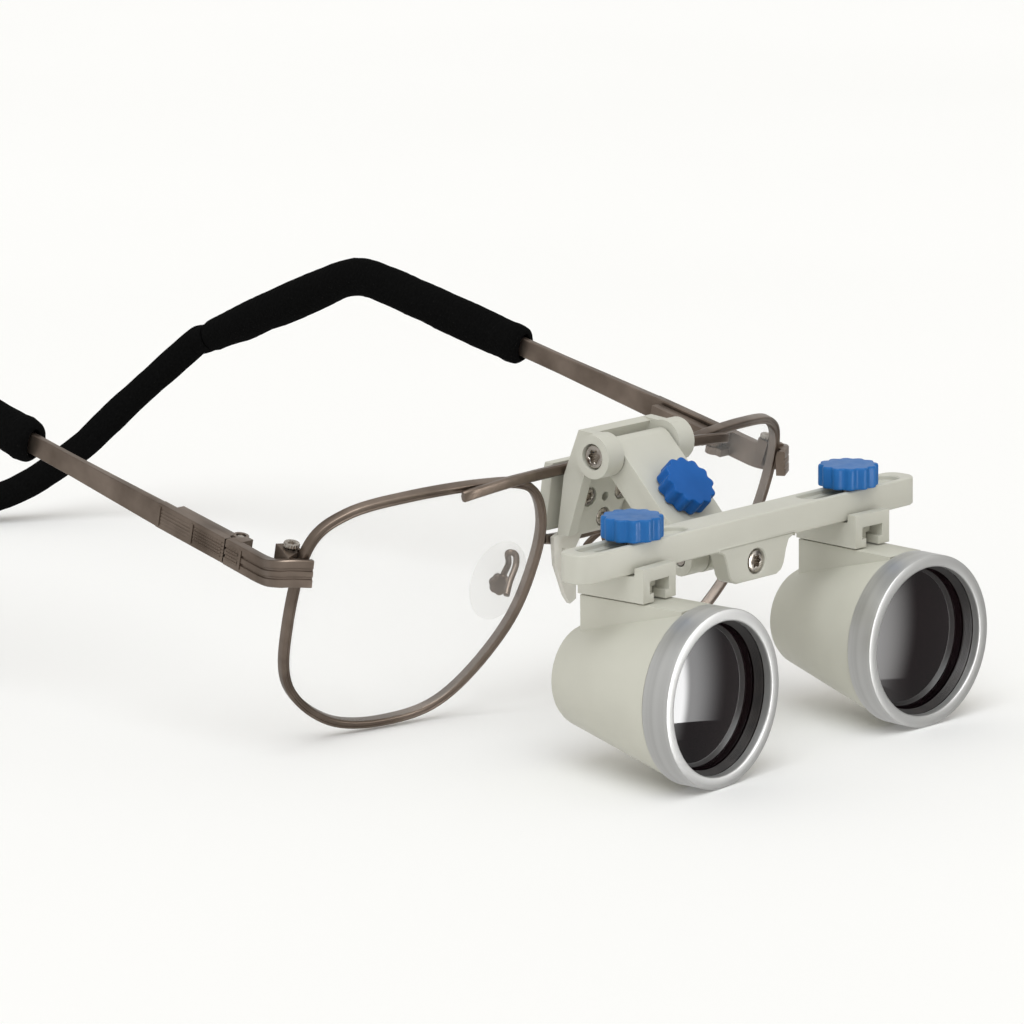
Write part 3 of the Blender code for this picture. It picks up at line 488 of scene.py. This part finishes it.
def show(name, bm, material, body, nodes=(), sharp=35):
    """Turn a shape in design millimetres into a piece that rides on a body and stands for its nodes."""
    bmesh.ops.remove_doubles(bm, verts=bm.verts, dist=1e-5)
    bmesh.ops.recalc_face_normals(bm, faces=bm.faces)
    for vert in bm.verts:
        vert.co = metres(*vert.co)
    mesh = bpy.data.meshes.new(name)
    bm.to_mesh(mesh)
    bm.free()
    mesh.shade_smooth()
    mesh.set_sharp_from_angle(angle=math.radians(sharp))
    mesh.materials.append(material)
    piece = bpy.data.objects.new(name, mesh)
    bpy.context.scene.collection.objects.link(piece)
    if body:
        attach(piece, body)
    if nodes:
        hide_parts(*nodes)
    return piece


def refine(node, material, width=0.3, segments=3, name=None):
    """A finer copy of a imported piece: flat faces joined up again, and every edge rounded."""
    source = NODES[node]
    bm = bmesh.new()
    bm.from_mesh(source.data)
    bmesh.ops.remove_doubles(bm, verts=bm.verts, dist=2e-6)
    bmesh.ops.dissolve_limit(bm, angle_limit=math.radians(1.5), verts=bm.verts, edges=bm.edges)
    mesh = bpy.data.meshes.new(name or f"{node}_body")
    bm.to_mesh(mesh)
    bm.free()
    mesh.shade_smooth()
    mesh.materials.append(material)
    piece = bpy.data.objects.new(name or f"{node}_body", mesh)
    bpy.context.scene.collection.objects.link(piece)
    bevel = piece.modifiers.new("round_edges", "BEVEL")
    bevel.width = width * MM
    bevel.segments = segments
    bevel.limit_method = "ANGLE"
    bevel.angle_limit = math.radians(32)
    bevel.harden_normals = True
    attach(piece, source["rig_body"])
    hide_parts(node)
    return piece


def dress(node, material):
    mesh = NODES[node].data
    mesh.materials.clear()
    mesh.materials.append(material)


# ---------------------------------------------------------------- barrels

def barrel_matrix(side):
    centre = Vector((side * HALF_SPACING, 0, RING_R))
    return Matrix.Translation(centre) @ Matrix.Rotation(-side * TOE_IN, 4, "Z")


def arc(centre, radius, start, end, steps):
    """Points of (radius, y) on an arc, angles in degrees from the +radius direction."""
    turns = [math.radians(start + (end - start) * k / steps) for k in range(steps + 1)]
    return [(centre[0] + radius * math.cos(t), centre[1] + radius * math.sin(t)) for t in turns]


def make_barrel(label, side):
    place = barrel_matrix(side)
    body = f"barrel_{label}"
    refine(f"barrel_{label}", BARREL[side], 0.35, 3, f"housing_{label}")

    inner = RING_R - 1.5
    profile = arc((RING_R - 0.18, 0.18), 0.18, 270, 360, 4)
    profile += arc((RING_R - 0.2, RING_WIDTH - 0.2), 0.2, 0, 90, 3)
    profile += [(inner, RING_WIDTH), (inner, 1.6), (13.9, 1.6), (13.9, 0.3), (13.94, 0.14)]
    profile += [(14.05, 0.03), (14.2, 0.0)]
    show(f"ring_{label}", moved(turned(profile, 160), place), TURNED[side], body, [f"front_ring_{label}"],
         50)

    sleeve_r = inner - 0.3
    ridges = [(13.7, 5.4), (13.7, 3.62), (13.16, 3.32)]
    for k in range(5):
        y, radius = 3.1 - 0.24 * k, 13.22 + 0.11 * k
        ridges += [(radius + 0.1, y + 0.06), (radius + 0.02, y - 0.04)]
    profile = [(13.95, 1.9), (sleeve_r, 1.9), (sleeve_r, 7.2), (12.6, 7.2), (12.6, 5.4)]
    show(f"threaded_sleeve_{label}", moved(turned(profile + ridges, 128), place), BLACK, body,
         [f"lens_sleeve_{label}"], 20)

    curve_r = 53.0
    rims = [13.4 * k / 14 for k in range(15)]
    front = [(r, 1.9 + curve_r - math.sqrt(curve_r * curve_r - r * r)) for r in rims]
    back = [(12.3, 5.2), (11.8, 9.6), (9.8, 14.2), (6.0, 15.1), (0, 15.5)]
    show(f"objective_{label}", moved(turned(front + [(13.4, 5.2)] + back, 96), place), GLASS, body,
         [f"objective_lens_{label}"], 60)

    rims = [6.7 * k / 8 for k in range(9)]
    front = [(r, 30.0 - 0.5 * (r / 6.7) ** 2) for r in rims]
    back = [(r, 30.8 + 0.6 * (r / 6.7) ** 2) for r in reversed(rims)]
    show(f"eyepiece_{label}", moved(turned(front + back, 64), place), GLASS, body,
         [f"eyepiece_lens_{label}"], 60)


# ---------------------------------------------------------------- knobs and screws

def knob_rings(radius, height, lobes=12, per_lobe=12):
    """Rings of a scalloped knob: round grips, eased top and bottom edges and a shallow dished top."""
    steps = lobes * per_lobe
    outline = []
    for k in range(steps):
        turn = math.tau * k / steps
        scallop = 0.65 * ((1 + math.cos(lobes * turn)) / 2) ** 1.2
        outline.append((math.cos(turn), math.sin(turn), radius - scallop))
    levels = [(0.9, 0.0), (0.97, 0.06), (0.99, 0.2), (1.0, 0.4), (1.0, height - 0.5), (0.99, height - 0.22)]
    levels += [(0.975, height - 0.07), (0.95, height), (0.92, height + 0.01), (0.6, height - 0.03)]
    levels += [(0.15, height - 0.05)]
    return [[(c * r * share, s * r * share, z) for c, s, r in outline] for share, z in levels]


def make_knob(name, node, body, base, direction, radius, height, material):
    turn = Z_AXIS.rotation_difference(direction).to_matrix().to_4x4()
    bm = skin(knob_rings(radius, height))
    show(name, moved(bm, Matrix.Translation(base) @ turn), material, body, [node], 45)


def screw_shape(head_r, head_h, lobes=6, serrations=0):
    """A round screw head with a star-shaped socket, facing -Y from its top at the origin."""
    steps = 144 if serrations else 72
    rings = []

    def ring(radius_at, y):
        turns = [math.tau * k / steps for k in range(steps)]
        rings.append([(radius_at(t) * math.cos(t), y, radius_at(t) * math.sin(t)) for t in turns])

    socket = head_r * 0.52

    def star(share):
        return lambda t: socket * share * (1 + 0.16 * math.cos(lobes * t))

    ring(star(0.85), head_h * 0.9)
    ring(star(1.0), 0.1)
    ring(star(1.1), 0.0)
    ring(lambda t: head_r * 0.82, 0.0)
    ring(lambda t: head_r * 0.94, head_h * 0.1)

    def grip(t):
        return head_r - 0.12 * abs(math.sin(serrations * t / 2))

    ring(grip, head_h * 0.3)
    ring(grip, head_h)
    return skin(rings)


def make_screw(name, node, body, head_top, direction, head_r, head_h, shank_r, shank_length, serrations=0):
    bm = screw_shape(head_r, head_h, 6, serrations)
    turns = [math.tau * k / 24 for k in range(24)]
    shank = [[(shank_r * math.cos(t), y, shank_r * math.sin(t)) for t in turns]
             for y in (head_h - 0.05, head_h + shank_length)]
    join(bm, skin(shank))
    show(name, moved(bm, along_axis(direction, head_top)), STEEL, body, [node], 30)


def make_loupe_hardware():
    down = (TILT - FLIP).normalized()
    outward = down.cross(X_AXIS)
    foot = FLIP + down * LOCK_DISTANCE
    lock = "tilt_lock_knob"
    make_knob("lock_knob", lock, lock, foot + outward * 3.2, outward, 5.4, 3.6, BLUE)
    for label, side in SIDES.items():
        base = Vector((side * SLOT_X, SLOT_Y, BAR_TOP + 0.3))
        knob = f"pd_knob_{label}"
        make_knob(f"distance_knob_{label}", knob, knob, base, Z_AXIS, 5.6, 4.1, PALE_BLUE)
        head = FLIP + X_AXIS * side * 11.5
        inward = -X_AXIS * side
        make_screw(f"hinge_screw_{label}", f"flip_screw_{label}", "frame", head, inward, 2.2, 1.2, 1.2, 8.0)
        refine(f"slider_{label}", GREY, 0.22, 3)
        dress(f"pd_knob_stud_{label}", STEEL)
    head = Vector((0, 17.0, 33.6))
    make_screw("cross_bar_screw", "bar_screw", "slide_bar", head, Y_AXIS, 2.1, 1.3, 1.0, 5.6)
    for node, width in (("slide_bar", 0.45), ("flip_arm", 0.4), ("tilt_lug", 0.25)):
        refine(node, GREY, width)
    for node in ("tilt_pin", "tilt_lock_stud"):
        dress(node, STEEL)


# ---------------------------------------------------------------- bridge bracket

WALL = (Vector((0, 55.2, 46.0)), Vector((0, 57.0, 34.6)))
WALL_NORMAL = X_AXIS.cross((WALL[1] - WALL[0]).normalized())
CLAMP_SCREWS = {"upper_left": (4.4, 41.5), "upper_right": (-4.4, 41.5), "lower": (0.0, 37.0)}


def make_bracket():
    refine("bridge_bracket", GREY, 0.3)
    refine("rear_clamp", GREY, 0.3)
    refine("retaining_clip", CLIP, 0.25)
    for label, (x, z) in CLAMP_SCREWS.items():
        share = (46.0 - z) / (46.0 - 34.6)
        head = WALL[0].lerp(WALL[1], share) + X_AXIS * x - WALL_NORMAL * 1.9
        node = f"clamp_screw_{label}"
        make_screw(f"wall_screw_{label}", node, "frame", head, WALL_NORMAL, 1.6, 0.65, 0.8, 4.6)


# ---------------------------------------------------------------- spectacle front

def lens_matrix(side):
    forward = Vector((
        side * math.sin(LENS_WRAP) * math.cos(LENS_LEAN),
        -math.cos(LENS_WRAP) * math.cos(LENS_LEAN),
        -math.sin(LENS_LEAN),
    ))
    across = forward.cross(Z_AXIS).normalized() * -side
    across = -across if across.x * side > 0 else across
    upward = forward.cross(across) * side
    upward = -upward if upward.z < 0 else upward
    centre = Vector((side * LENS_CENTRE.x, LENS_CENTRE.y, LENS_CENTRE.z))
    columns = Matrix((across, upward, forward)).transposed().to_4x4()
    return Matrix.Translation(centre) @ columns


def lens_point(side, u, v, w=0.0):
    drop = (u * u + v * v - 24.0 * 24.0) / 250.0
    return lens_matrix(side) @ Vector((u, v, w - drop))


def grooved_rim_section():
    """A round-cornered band with a shallow groove along its front."""
    depth = 0.98
    section = rounded(0.82, depth, 0.38, 4)
    groove = [(0.28, depth), (0.17, depth - 0.16), (-0.17, depth - 0.16), (-0.28, depth)]
    front = [i for i, p in enumerate(section) if abs(p[1] - depth) < 1e-6]
    return section[:front[0] + 1] + groove + section[front[-1]:]


def make_rim(label, side):
    forward = lens_matrix(side).to_3x3() @ Z_AXIS
    path = [lens_point(side, u, v) for u, v in smooth_loop(LENS_OUTLINE, 9)]
    section = grooved_rim_section()
    show(f"wire_rim_{label}", sweep(path, lambda share: section, forward, True), GUNMETAL, "frame",
         [f"rim_{label}"], 40)

    outline = smooth_loop(LENS_OUTLINE, 6)
    middle_u, middle_v = 0.4, 0.3
    bm = bmesh.new()
    faces = []
    for depth in (0.8, -0.8):
        rings = []
        for share in (1.0, 0.8, 0.6, 0.4, 0.2):
            ring = []
            for u, v in outline:
                du, dv = u - middle_u, v - middle_v
                reach = math.hypot(du, dv)
                scale = share * (reach - 1.12) / reach
                point = lens_point(side, middle_u + du * scale, middle_v + dv * scale, depth)
                ring.append(bm.verts.new(point))
            rings.append(ring)
        faces.append(rings)
        bm.faces.new(rings[-1])
    bands = [(faces[0][0], faces[1][0])]
    for rings in faces:
        bands += list(zip(rings, rings[1:]))
    for first, second in bands:
        for i in range(len(outline)):
            j = (i + 1) % len(outline)
            bm.faces.new((first[i], first[j], second[j], second[i]))
    show(f"clear_lens_{label}", bm, LENS_CLEAR, "frame", [f"plano_lens_{label}"])


def make_front():
    for node in ("brow_bar", "lower_bridge"):
        refine(node, GUNMETAL, 0.2)
    for label, side in SIDES.items():
        make_rim(label, side)


# ---------------------------------------------------------------- temples

def hinge_matrix(side):
    along = Vector((0, math.cos(TEMPLE_RISE), math.sin(TEMPLE_RISE)))
    pin_axis = Vector((0, -math.sin(TEMPLE_RISE), math.cos(TEMPLE_RISE)))
    columns = Matrix((X_AXIS * side, along, pin_axis)).transposed().to_4x4()
    return Matrix.Translation(Vector((side * HINGE.x, HINGE.y, HINGE.z))) @ columns


def temple_local(distance):
    inward = 2.9 - 0.018 * distance - 0.00006 * distance * distance
    if distance < BEND_START:
        return Vector((inward, distance, 0))
    turn = min((distance - BEND_START) / BEND_R, EAR_BEND)
    t = BEND_START + BEND_R * math.sin(turn)
    a = -BEND_R * (1 - math.cos(turn))
    rest = distance - BEND_START - BEND_R * turn
    return Vector((inward, t + rest * math.cos(EAR_BEND), a - rest * math.sin(EAR_BEND)))


def relief_bar(half_side, half_up, outer, depth_at):
    """A flat bar whose outer face is cut back by a depth that varies with height (-1 to 1)."""
    edge = half_side * outer
    heights = [0.95 - 1.9 * k / 56 for k in range(57)]
    face = [(edge * 0.8, half_up)] + [(edge - outer * depth_at(v), half_up * v) for v in heights]
    face += [(edge * 0.8, -half_up)]
    back = [(-edge * 0.8, -half_up), (-edge, -half_up * 0.9), (-edge, half_up * 0.9)]
    return face + back + [(-edge * 0.8, half_up)]


def fine_lines(v):
    """Five narrow engraved lines."""
    return 0.14 * max(0.0, 1 - min(abs(v - line) for line in (-0.56, -0.28, 0.0, 0.28, 0.56)) / 0.06)


def knurl(corner, across, along, outward, cells_along, cells_across):
    """A raised panel of small pyramids on a flat face."""
    bm = bmesh.new()
    height = outward * 0.32
    root = corner - outward * 0.12
    foot = [bm.verts.new(p) for p in (root, root + along, root + along + across, root + across)]
    grid = [[bm.verts.new(corner + along * (i / cells_along) + across * (j / cells_across))
             for j in range(cells_across + 1)] for i in range(cells_along + 1)]
    for i in range(cells_along):
        for j in range(cells_across):
            square = (grid[i][j], grid[i + 1][j], grid[i + 1][j + 1], grid[i][j + 1])
            tip = bm.verts.new(sum((v.co for v in square), Vector()) / 4 + height)
            for k in range(4):
                bm.faces.new((square[k], square[(k + 1) % 4], tip))
    near, far = [row[0] for row in grid], [row[-1] for row in grid]
    edges = (near, grid[-1], far[::-1], grid[0][::-1])
    for k, run in enumerate(edges):
        bm.faces.new([*run, foot[(k + 1) % 4], foot[k]])
    bm.faces.new(foot)
    return bm


def make_temple(label, side):
    place = hinge_matrix(side)
    up = place.to_3x3() @ Z_AXIS
    outward = place.to_3x3() @ X_AXIS
    stops = [0.15, 4, 8, 12, 16, 18.4, 18.7] + [20 + 4 * k for k in range(19)]
    stops += [BEND_START + BEND_R * EAR_BEND * k / 10 for k in range(11)] + [TIP_END - 17, TIP_END]

    def section_at(share):
        distance = stops[round(share * (len(stops) - 1))]
        if distance <= 18.5:
            return relief_bar(0.95, 2.4, side, fine_lines)
        taper = min(1.0, (distance - 18.5) / 26)
        return relief_bar(0.95 - 0.3 * taper, 2.3 - 0.35 * taper, side, lambda v: 0)

    temple = sweep([place @ temple_local(stop) for stop in stops], section_at, up)
    corner = place @ (temple_local(0.9) + Vector((0.97, 0, -1.5)))
    end = place @ (temple_local(8.3) + Vector((0.97, 0, -1.5)))
    join(temple, knurl(corner, up * 3.0, end - corner, outward, 13, 5))
    for distance in (8.9, 17.9):
        spots = [place @ (temple_local(distance + k) + Vector((0.92, 0, 0))) for k in (-0.3, 0.3)]
        join(temple, sweep(spots, lambda share: rounded(0.2, 1.9, 0.16, 3), up))
    node = f"temple_{label}"
    show(f"temple_bar_{label}", temple, GUNMETAL, node, [node], 32)
    refine(f"spring_hinge_{label}", GUNMETAL, 0.2)
    dress(f"hinge_pin_{label}", STEEL)


def make_end_piece(label, side):
    """The ribbed end piece, with a knurled panel and a raised bar beside the hinge seam."""
    refine(f"end_piece_{label}", GUNMETAL, 0.11, 3)
    place = hinge_matrix(side)
    up, outward = place.to_3x3() @ Z_AXIS, place.to_3x3() @ X_AXIS
    corner = place @ Vector((3.9, -3.6, -1.5))
    along = place.to_3x3() @ Vector((-0.03, 3.1, 0))
    panel = knurl(corner, up * 3.0, along, outward, 5, 5)
    spots = [place @ Vector((3.85, t, 0)) for t in (-4.5, -3.9)]
    join(panel, sweep(spots, lambda share: rounded(0.2, 1.9, 0.16, 3), up))
    show(f"end_panel_{label}", panel, GUNMETAL, "frame", [f"end_piece_{label}"], 32)
    head = lens_point(side, -26.7, 15.8, -2.1)
    down = (lens_point(side, -26.7, 10.4, -2.1) - head).normalized()
    head -= down * 0.05
    node = f"rim_lock_screw_{label}"
    make_screw(f"rim_screw_{label}", node, "frame", head, down, 1.5, 0.7, 0.75, 4.2, serrations=18)


# ---------------------------------------------------------------- sleeves and strap

def lumps(point, size, seed):
    return noise.noise(point * size + Vector((seed, seed * 2.3, 0)))


def make_sleeve(label, side):
    """A knitted sock over the ear end: a soft, slightly uneven outline and a hem at its mouth."""
    place = hinge_matrix(side)
    up = place.to_3x3() @ Z_AXIS
    end = SLEEVE_END
    count = 90
    stops = [SLEEVE_START + (end - SLEEVE_START) * k / count for k in range(count + 1)]
    rings = []

    def size_at(stop):
        mouth = min(1.0, (stop - SLEEVE_START) / 1.4)
        tail = min(1.0, (end - stop) / 0.9)
        waist = min(1.0, (end - stop) / 11.0)
        hem = 0.22 * math.exp(-((stop - SLEEVE_START - 3.0) / 1.1) ** 2)
        swell = 3.72 + 0.16 * math.exp(-((stop - 72.0) / 14) ** 2) + hem
        ease = math.sqrt(max(0.0, 1 - (1 - mouth) ** 2)) * 0.25 + 0.75
        close = math.sqrt(max(0.0, 1 - (1 - tail) ** 2)) * 0.08 + 0.92
        taper = 0.84 + 0.16 * waist * waist * (3 - 2 * waist)
        return swell * ease * close * taper

    for stop in reversed(stops):
        ahead = place @ temple_local(stop + 0.5) - place @ temple_local(stop - 0.5)
        half = size_at(stop)
        centre = place @ temple_local(stop)
        ring = []
        for point in section_ring(centre, ahead, up, oval(half, half * 1.09, 32)):
            grain = 1 + 0.075 * lumps(point, 0.13, side) + 0.02 * lumps(point, 0.8, side + 4)
            ring.append(centre + (point - centre) * grain)
        rings.append(ring)
    for stop in [s for s in stops if s < TIP_END + 1]:
        ahead = place @ temple_local(stop + 0.5) - place @ temple_local(stop - 0.5)
        rings.append(section_ring(place @ temple_local(stop), ahead, up, oval(1.6, 2.9, 32)))
    show(f"ear_sock_{label}", skin(rings), FABRIC, f"temple_{label}", [f"temple_sleeve_{label}"],
         60)


def make_strap(label, side):
    """Half of the strap: a soft round tube with a faint unevenness, from the sock to the middle behind."""
    place = hinge_matrix(side)
    anchors = [place @ temple_local(SLEEVE_END + ahead) for ahead in (0.3, 3.0, 6.0)]
    anchors += [Vector((side * x, y, z)) for x, y, z in STRAP_ROUTE]
    route = smooth_path(anchors, 3)
    fine = smooth_path(route, 3)
    rings = []
    for i, point in enumerate(fine):
        before, after = fine[max(i - 1, 0)], fine[min(i + 1, len(fine) - 1)]
        ring = []
        for spot in section_ring(point, after - before, Z_AXIS, oval(STRAP_R, STRAP_R, 28)):
            grain = 1 + 0.07 * lumps(spot, 0.2, side + 9) + 0.02 * lumps(spot, 0.7, side + 2)
            uneven = point + (spot - point) * grain
            uneven.z = max(uneven.z, 0.0)
            ring.append(uneven)
        rings.append(ring)
    node = f"head_strap_{label}"
    strap = show(f"strap_{label}", skin(rings), FABRIC, None, [node], 60)
    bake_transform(strap)


# ---------------------------------------------------------------- nose pads

def pad_matrix(side):
    turn = Matrix.Rotation(side * math.radians(32), 4, "Z") @ Matrix.Rotation(math.radians(20), 4, "X")
    turn = Matrix.Rotation(-side * math.radians(24), 4, "Y") @ turn
    return Matrix.Translation(Vector((side * 10.8, 71.4, 23.6))) @ turn


PAD_WIRE = (
    (16.6, 63.9, 23.2), (14.5, 64.9, 25.4), (12.5, 65.3, 28.0), (12.1, 65.8, 29.9), (12.9, 66.9, 30.1),
)


def make_nose_pad(label, side):
    place = pad_matrix(side)
    rings = []
    levels = [(0.3, -0.02), (0.55, 0.0), (0.8, 0.08), (0.93, 0.35), (1.0, 0.8), (1.0, 1.2), (0.95, 1.65)]
    levels += [(0.84, 2.05), (0.66, 2.3), (0.4, 2.45), (0.15, 2.5)]
    for share, depth in levels:
        turns = [math.tau * k / 56 for k in range(56)]
        wide, tall = 5.0 * share, 7.9 * share
        rings.append([place @ Vector((wide * math.cos(t), depth, tall * math.sin(t))) for t in turns])
    show(f"silicone_pad_{label}", skin(rings), SILICONE, f"nose_pad_{label}", [f"nose_pad_{label}"],
         60)
    anchors = [Vector((side * x, y, z)) for x, y, z in PAD_WIRE]
    anchors += [place @ Vector((0, -1.6, 4.4)), place @ Vector((0, -1.2, 1.7))]
    section = oval(0.6, 0.6, 20)
    wire = sweep(smooth_path(anchors, 9), lambda share: section, X_AXIS)
    show(f"pad_wire_{label}", wire, GUNMETAL, "frame", [f"nose_pad_arm_{label}"], 60)
    rings = []
    levels = ((0.5, -2.02), (0.86, -1.98), (0.97, -1.8), (1.0, -1.4), (0.97, -0.7), (0.85, -0.38))
    for share, depth in levels:
        ring = []
        for t in (math.tau * k / 96 for k in range(96)):
            reach = 2.12 * share * (1 - 0.1 * (0.5 + 0.5 * math.cos(7 * t)) ** 2)
            ring.append(place @ Vector((reach * math.cos(t), depth, reach * math.sin(t))))
        rings.append(ring)
    stem = [[place @ Vector((a, depth, b)) for a, b in rounded(0.8, 0.8, 0.25)] for depth in (-0.6, 0.9)]
    puck = join(skin(rings), skin(stem))
    node = f"nose_pad_box_{label}"
    show(f"crimped_holder_{label}", puck, GUNMETAL, "frame", [node], 40)


# ---------------------------------------------------------------- camera, light and floor

def make_camera():
    data = bpy.data.cameras.new("camera")
    data.sensor_width = 36.0
    data.lens = 175.8
    data.clip_start = 0.05
    data.clip_end = 20.0
    camera = bpy.data.objects.new("camera", data)
    bpy.context.scene.collection.objects.link(camera)
    back = Vector((-0.708, -0.675, 0.208)).normalized()
    right = Vector((0.689, -0.725, -0.012))
    right = (right - back * right.dot(back)).normalized()
    up = back.cross(right)
    turn = Matrix((right, up, back)).transposed().to_4x4()
    camera.matrix_world = Matrix.Translation(metres(-670.05, -560.77, 231.15)) @ turn
    bpy.context.scene.camera = camera


def make_key():
    """A wide soft light from above the camera's left shoulder."""
    data = bpy.data.lights.new("key", "SUN")
    data.energy = KEY_POWER
    data.angle = math.radians(48)
    data.color = (0.93, 0.97, 1.0)
    light = bpy.data.objects.new("key", data)
    light.rotation_mode = "QUATERNION"
    light.rotation_quaternion = Vector((0.42, 0.30, -0.86)).to_track_quat("-Z", "Y")
    bpy.context.scene.collection.objects.link(light)


# What shiny faces see besides the even surround: direction, radius of the full patch and of its soft edge
# in degrees, and brightness.
PANELS = (
    ((0.0, 0.67, 0.72), 9, 26, 0.12),
    ((0.86, -0.48, -0.18), 20, 38, 0.16),
    ((-0.15, -0.55, 0.82), 12, 34, 1.3),
    ((-0.13, -0.12, 0.98), 9, 20, 2.8),
)


def make_studio():
    """A white surround for the camera and soft even light; shiny faces see panels, and a tall soft glow."""
    world = bpy.data.worlds.new("studio")
    bpy.context.scene.world = world
    world.use_nodes = True
    tree = world.node_tree
    tree.nodes.clear()

    def add(kind, **settings):
        node = tree.nodes.new(kind)
        for key, value in settings.items():
            setattr(node, key, value)
        return node

    def connect(source, socket):
        if isinstance(source, (int, float)):
            socket.default_value = source
        else:
            tree.links.new(source, socket)

    def calculate(operation, *values):
        node = add("ShaderNodeMath", operation=operation)
        for socket, value in zip(node.inputs, values):
            connect(value, socket)
        return node.outputs[0]

    def ramp(value, start, end):
        """0 at start and 1 at end, eased."""
        node = add("ShaderNodeMapRange", interpolation_type="SMOOTHSTEP")
        connect(value, node.inputs["Value"])
        node.inputs["From Min"].default_value = start
        node.inputs["From Max"].default_value = end
        return node.outputs["Result"]

    def blend(factor, first, second):
        node = add("ShaderNodeMix", data_type="FLOAT")
        for value, socket in ((factor, "Factor"), (first, "A"), (second, "B")):
            connect(value, node.inputs[socket])
        return node.outputs["Result"]

    direction = add("ShaderNodeTexCoord").outputs["Generated"]
    parts = add("ShaderNodeSeparateXYZ")
    tree.links.new(direction, parts.inputs[0])
    level = blend(ramp(parts.outputs["Z"], -0.15, 0.1), 0.62, 0.66)
    for axis, inner, outer, value in PANELS:
        dot = add("ShaderNodeVectorMath", operation="DOT_PRODUCT")
        tree.links.new(direction, dot.inputs[0])
        dot.inputs[1].default_value = Vector(axis).normalized()
        mask = ramp(dot.outputs["Value"], math.cos(math.radians(outer)), math.cos(math.radians(inner)))
        level = blend(mask, level, value)
    azimuth = calculate("ARCTAN2", parts.outputs["X"], calculate("MULTIPLY", parts.outputs["Y"], -1.0))
    degrees = calculate("MULTIPLY", azimuth, 180 / math.pi)
    height = parts.outputs["Z"]
    upright = calculate("MULTIPLY", ramp(height, -0.415, -0.405), ramp(height, 0.25, 0.0))
    across = calculate("MULTIPLY", ramp(degrees, 8, 16), ramp(degrees, 42, 24))
    level = blend(calculate("MULTIPLY", across, upright), level, SIDE_GLOW)

    path = add("ShaderNodeLightPath")
    shiny = add("ShaderNodeBackground")
    tree.links.new(level, shiny.inputs["Strength"])
    shiny.inputs["Color"].default_value = (1.0, 0.995, 0.98, 1)
    soft = add("ShaderNodeBackground")
    soft.inputs["Color"].default_value = (1.0, 0.975, 0.935, 1)
    soft.inputs["Strength"].default_value = AMBIENT
    seen = add("ShaderNodeBackground")
    seen.inputs["Color"].default_value = (0.975, 0.975, 0.97, 1)
    surround = soft
    for kind, other in (("Is Glossy Ray", shiny), ("Is Camera Ray", seen)):
        choice = add("ShaderNodeMixShader")
        tree.links.new(path.outputs[kind], choice.inputs["Fac"])
        tree.links.new(surround.outputs[0], choice.inputs[1])
        tree.links.new(other.outputs[0], choice.inputs[2])
        surround = choice
    out = add("ShaderNodeOutputWorld")
    tree.links.new(surround.outputs[0], out.inputs["Surface"])


def make_card():
    """A bright card close to the barrels that only shiny faces see: it fills the edge of one lens."""
    bm = bmesh.new()
    columns = []
    distance, bottom, top = 100.0, -22.0, 50.0
    for k in range(25):
        turn = math.radians(26 + 46 * k / 24)
        x, y = distance * math.sin(turn) - 36.7, -distance * math.cos(turn)
        columns.append([bm.verts.new(metres(x, y, z)) for z in (bottom, top)])
    for first, second in zip(columns, columns[1:]):
        bm.faces.new((first[0], second[0], second[1], first[1]))
    mesh = bpy.data.meshes.new("card")
    bm.to_mesh(mesh)
    bm.free()
    material = bpy.data.materials.new("card_glow")
    material.use_nodes = True
    tree = material.node_tree
    tree.nodes.clear()
    place = tree.nodes.new("ShaderNodeTexCoord")
    parts = tree.nodes.new("ShaderNodeSeparateXYZ")
    tree.links.new(place.outputs["Generated"], parts.inputs[0])
    fade = tree.nodes.new("ShaderNodeValToRGB")
    fade.color_ramp.interpolation = "EASE"
    stops = fade.color_ramp.elements
    stops[0].position, stops[0].color = 0.30, (1, 1, 1, 1)
    stops[1].position, stops[1].color = 0.95, (0, 0, 0, 1)
    knee = stops.new(0.46)
    knee.color = (0.25, 0.25, 0.25, 1)
    tree.links.new(parts.outputs["X"], fade.inputs[0])
    glow = tree.nodes.new("ShaderNodeEmission")
    glow.inputs["Strength"].default_value = CARD_GLOW
    clear = tree.nodes.new("ShaderNodeBsdfTransparent")
    choice = tree.nodes.new("ShaderNodeMixShader")
    tree.links.new(fade.outputs[0], choice.inputs["Fac"])
    tree.links.new(clear.outputs[0], choice.inputs[1])
    tree.links.new(glow.outputs[0], choice.inputs[2])
    out = tree.nodes.new("ShaderNodeOutputMaterial")
    tree.links.new(choice.outputs[0], out.inputs["Surface"])
    mesh.materials.append(material)
    card = bpy.data.objects.new("card", mesh)
    card.visible_camera = False
    card.visible_diffuse = False
    card.visible_transmission = False
    card.visible_shadow = False
    bpy.context.scene.collection.objects.link(card)


def make_floor():
    bm = bmesh.new()
    bmesh.ops.create_grid(bm, x_segments=8, y_segments=8, size=3.0)
    mesh = bpy.data.meshes.new("floor")
    bm.to_mesh(mesh)
    bm.free()
    mesh.materials.append(paper_floor())
    floor = bpy.data.objects.new("floor", mesh)
    floor.location = (0, 0, -0.00005)
    floor.visible_glossy = False
    bpy.context.scene.collection.objects.link(floor)


def main():
    bpy.context.scene.view_settings.view_transform = "Standard"
    make_camera()
    make_studio()
    make_floor()
    make_card()
    make_key()
    make_loupe_hardware()
    make_bracket()
    make_front()
    for label, side in SIDES.items():
        make_barrel(label, side)
        make_end_piece(label, side)
        make_temple(label, side)
        make_sleeve(label, side)
        make_strap(label, side)
        make_nose_pad(label, side)


main()
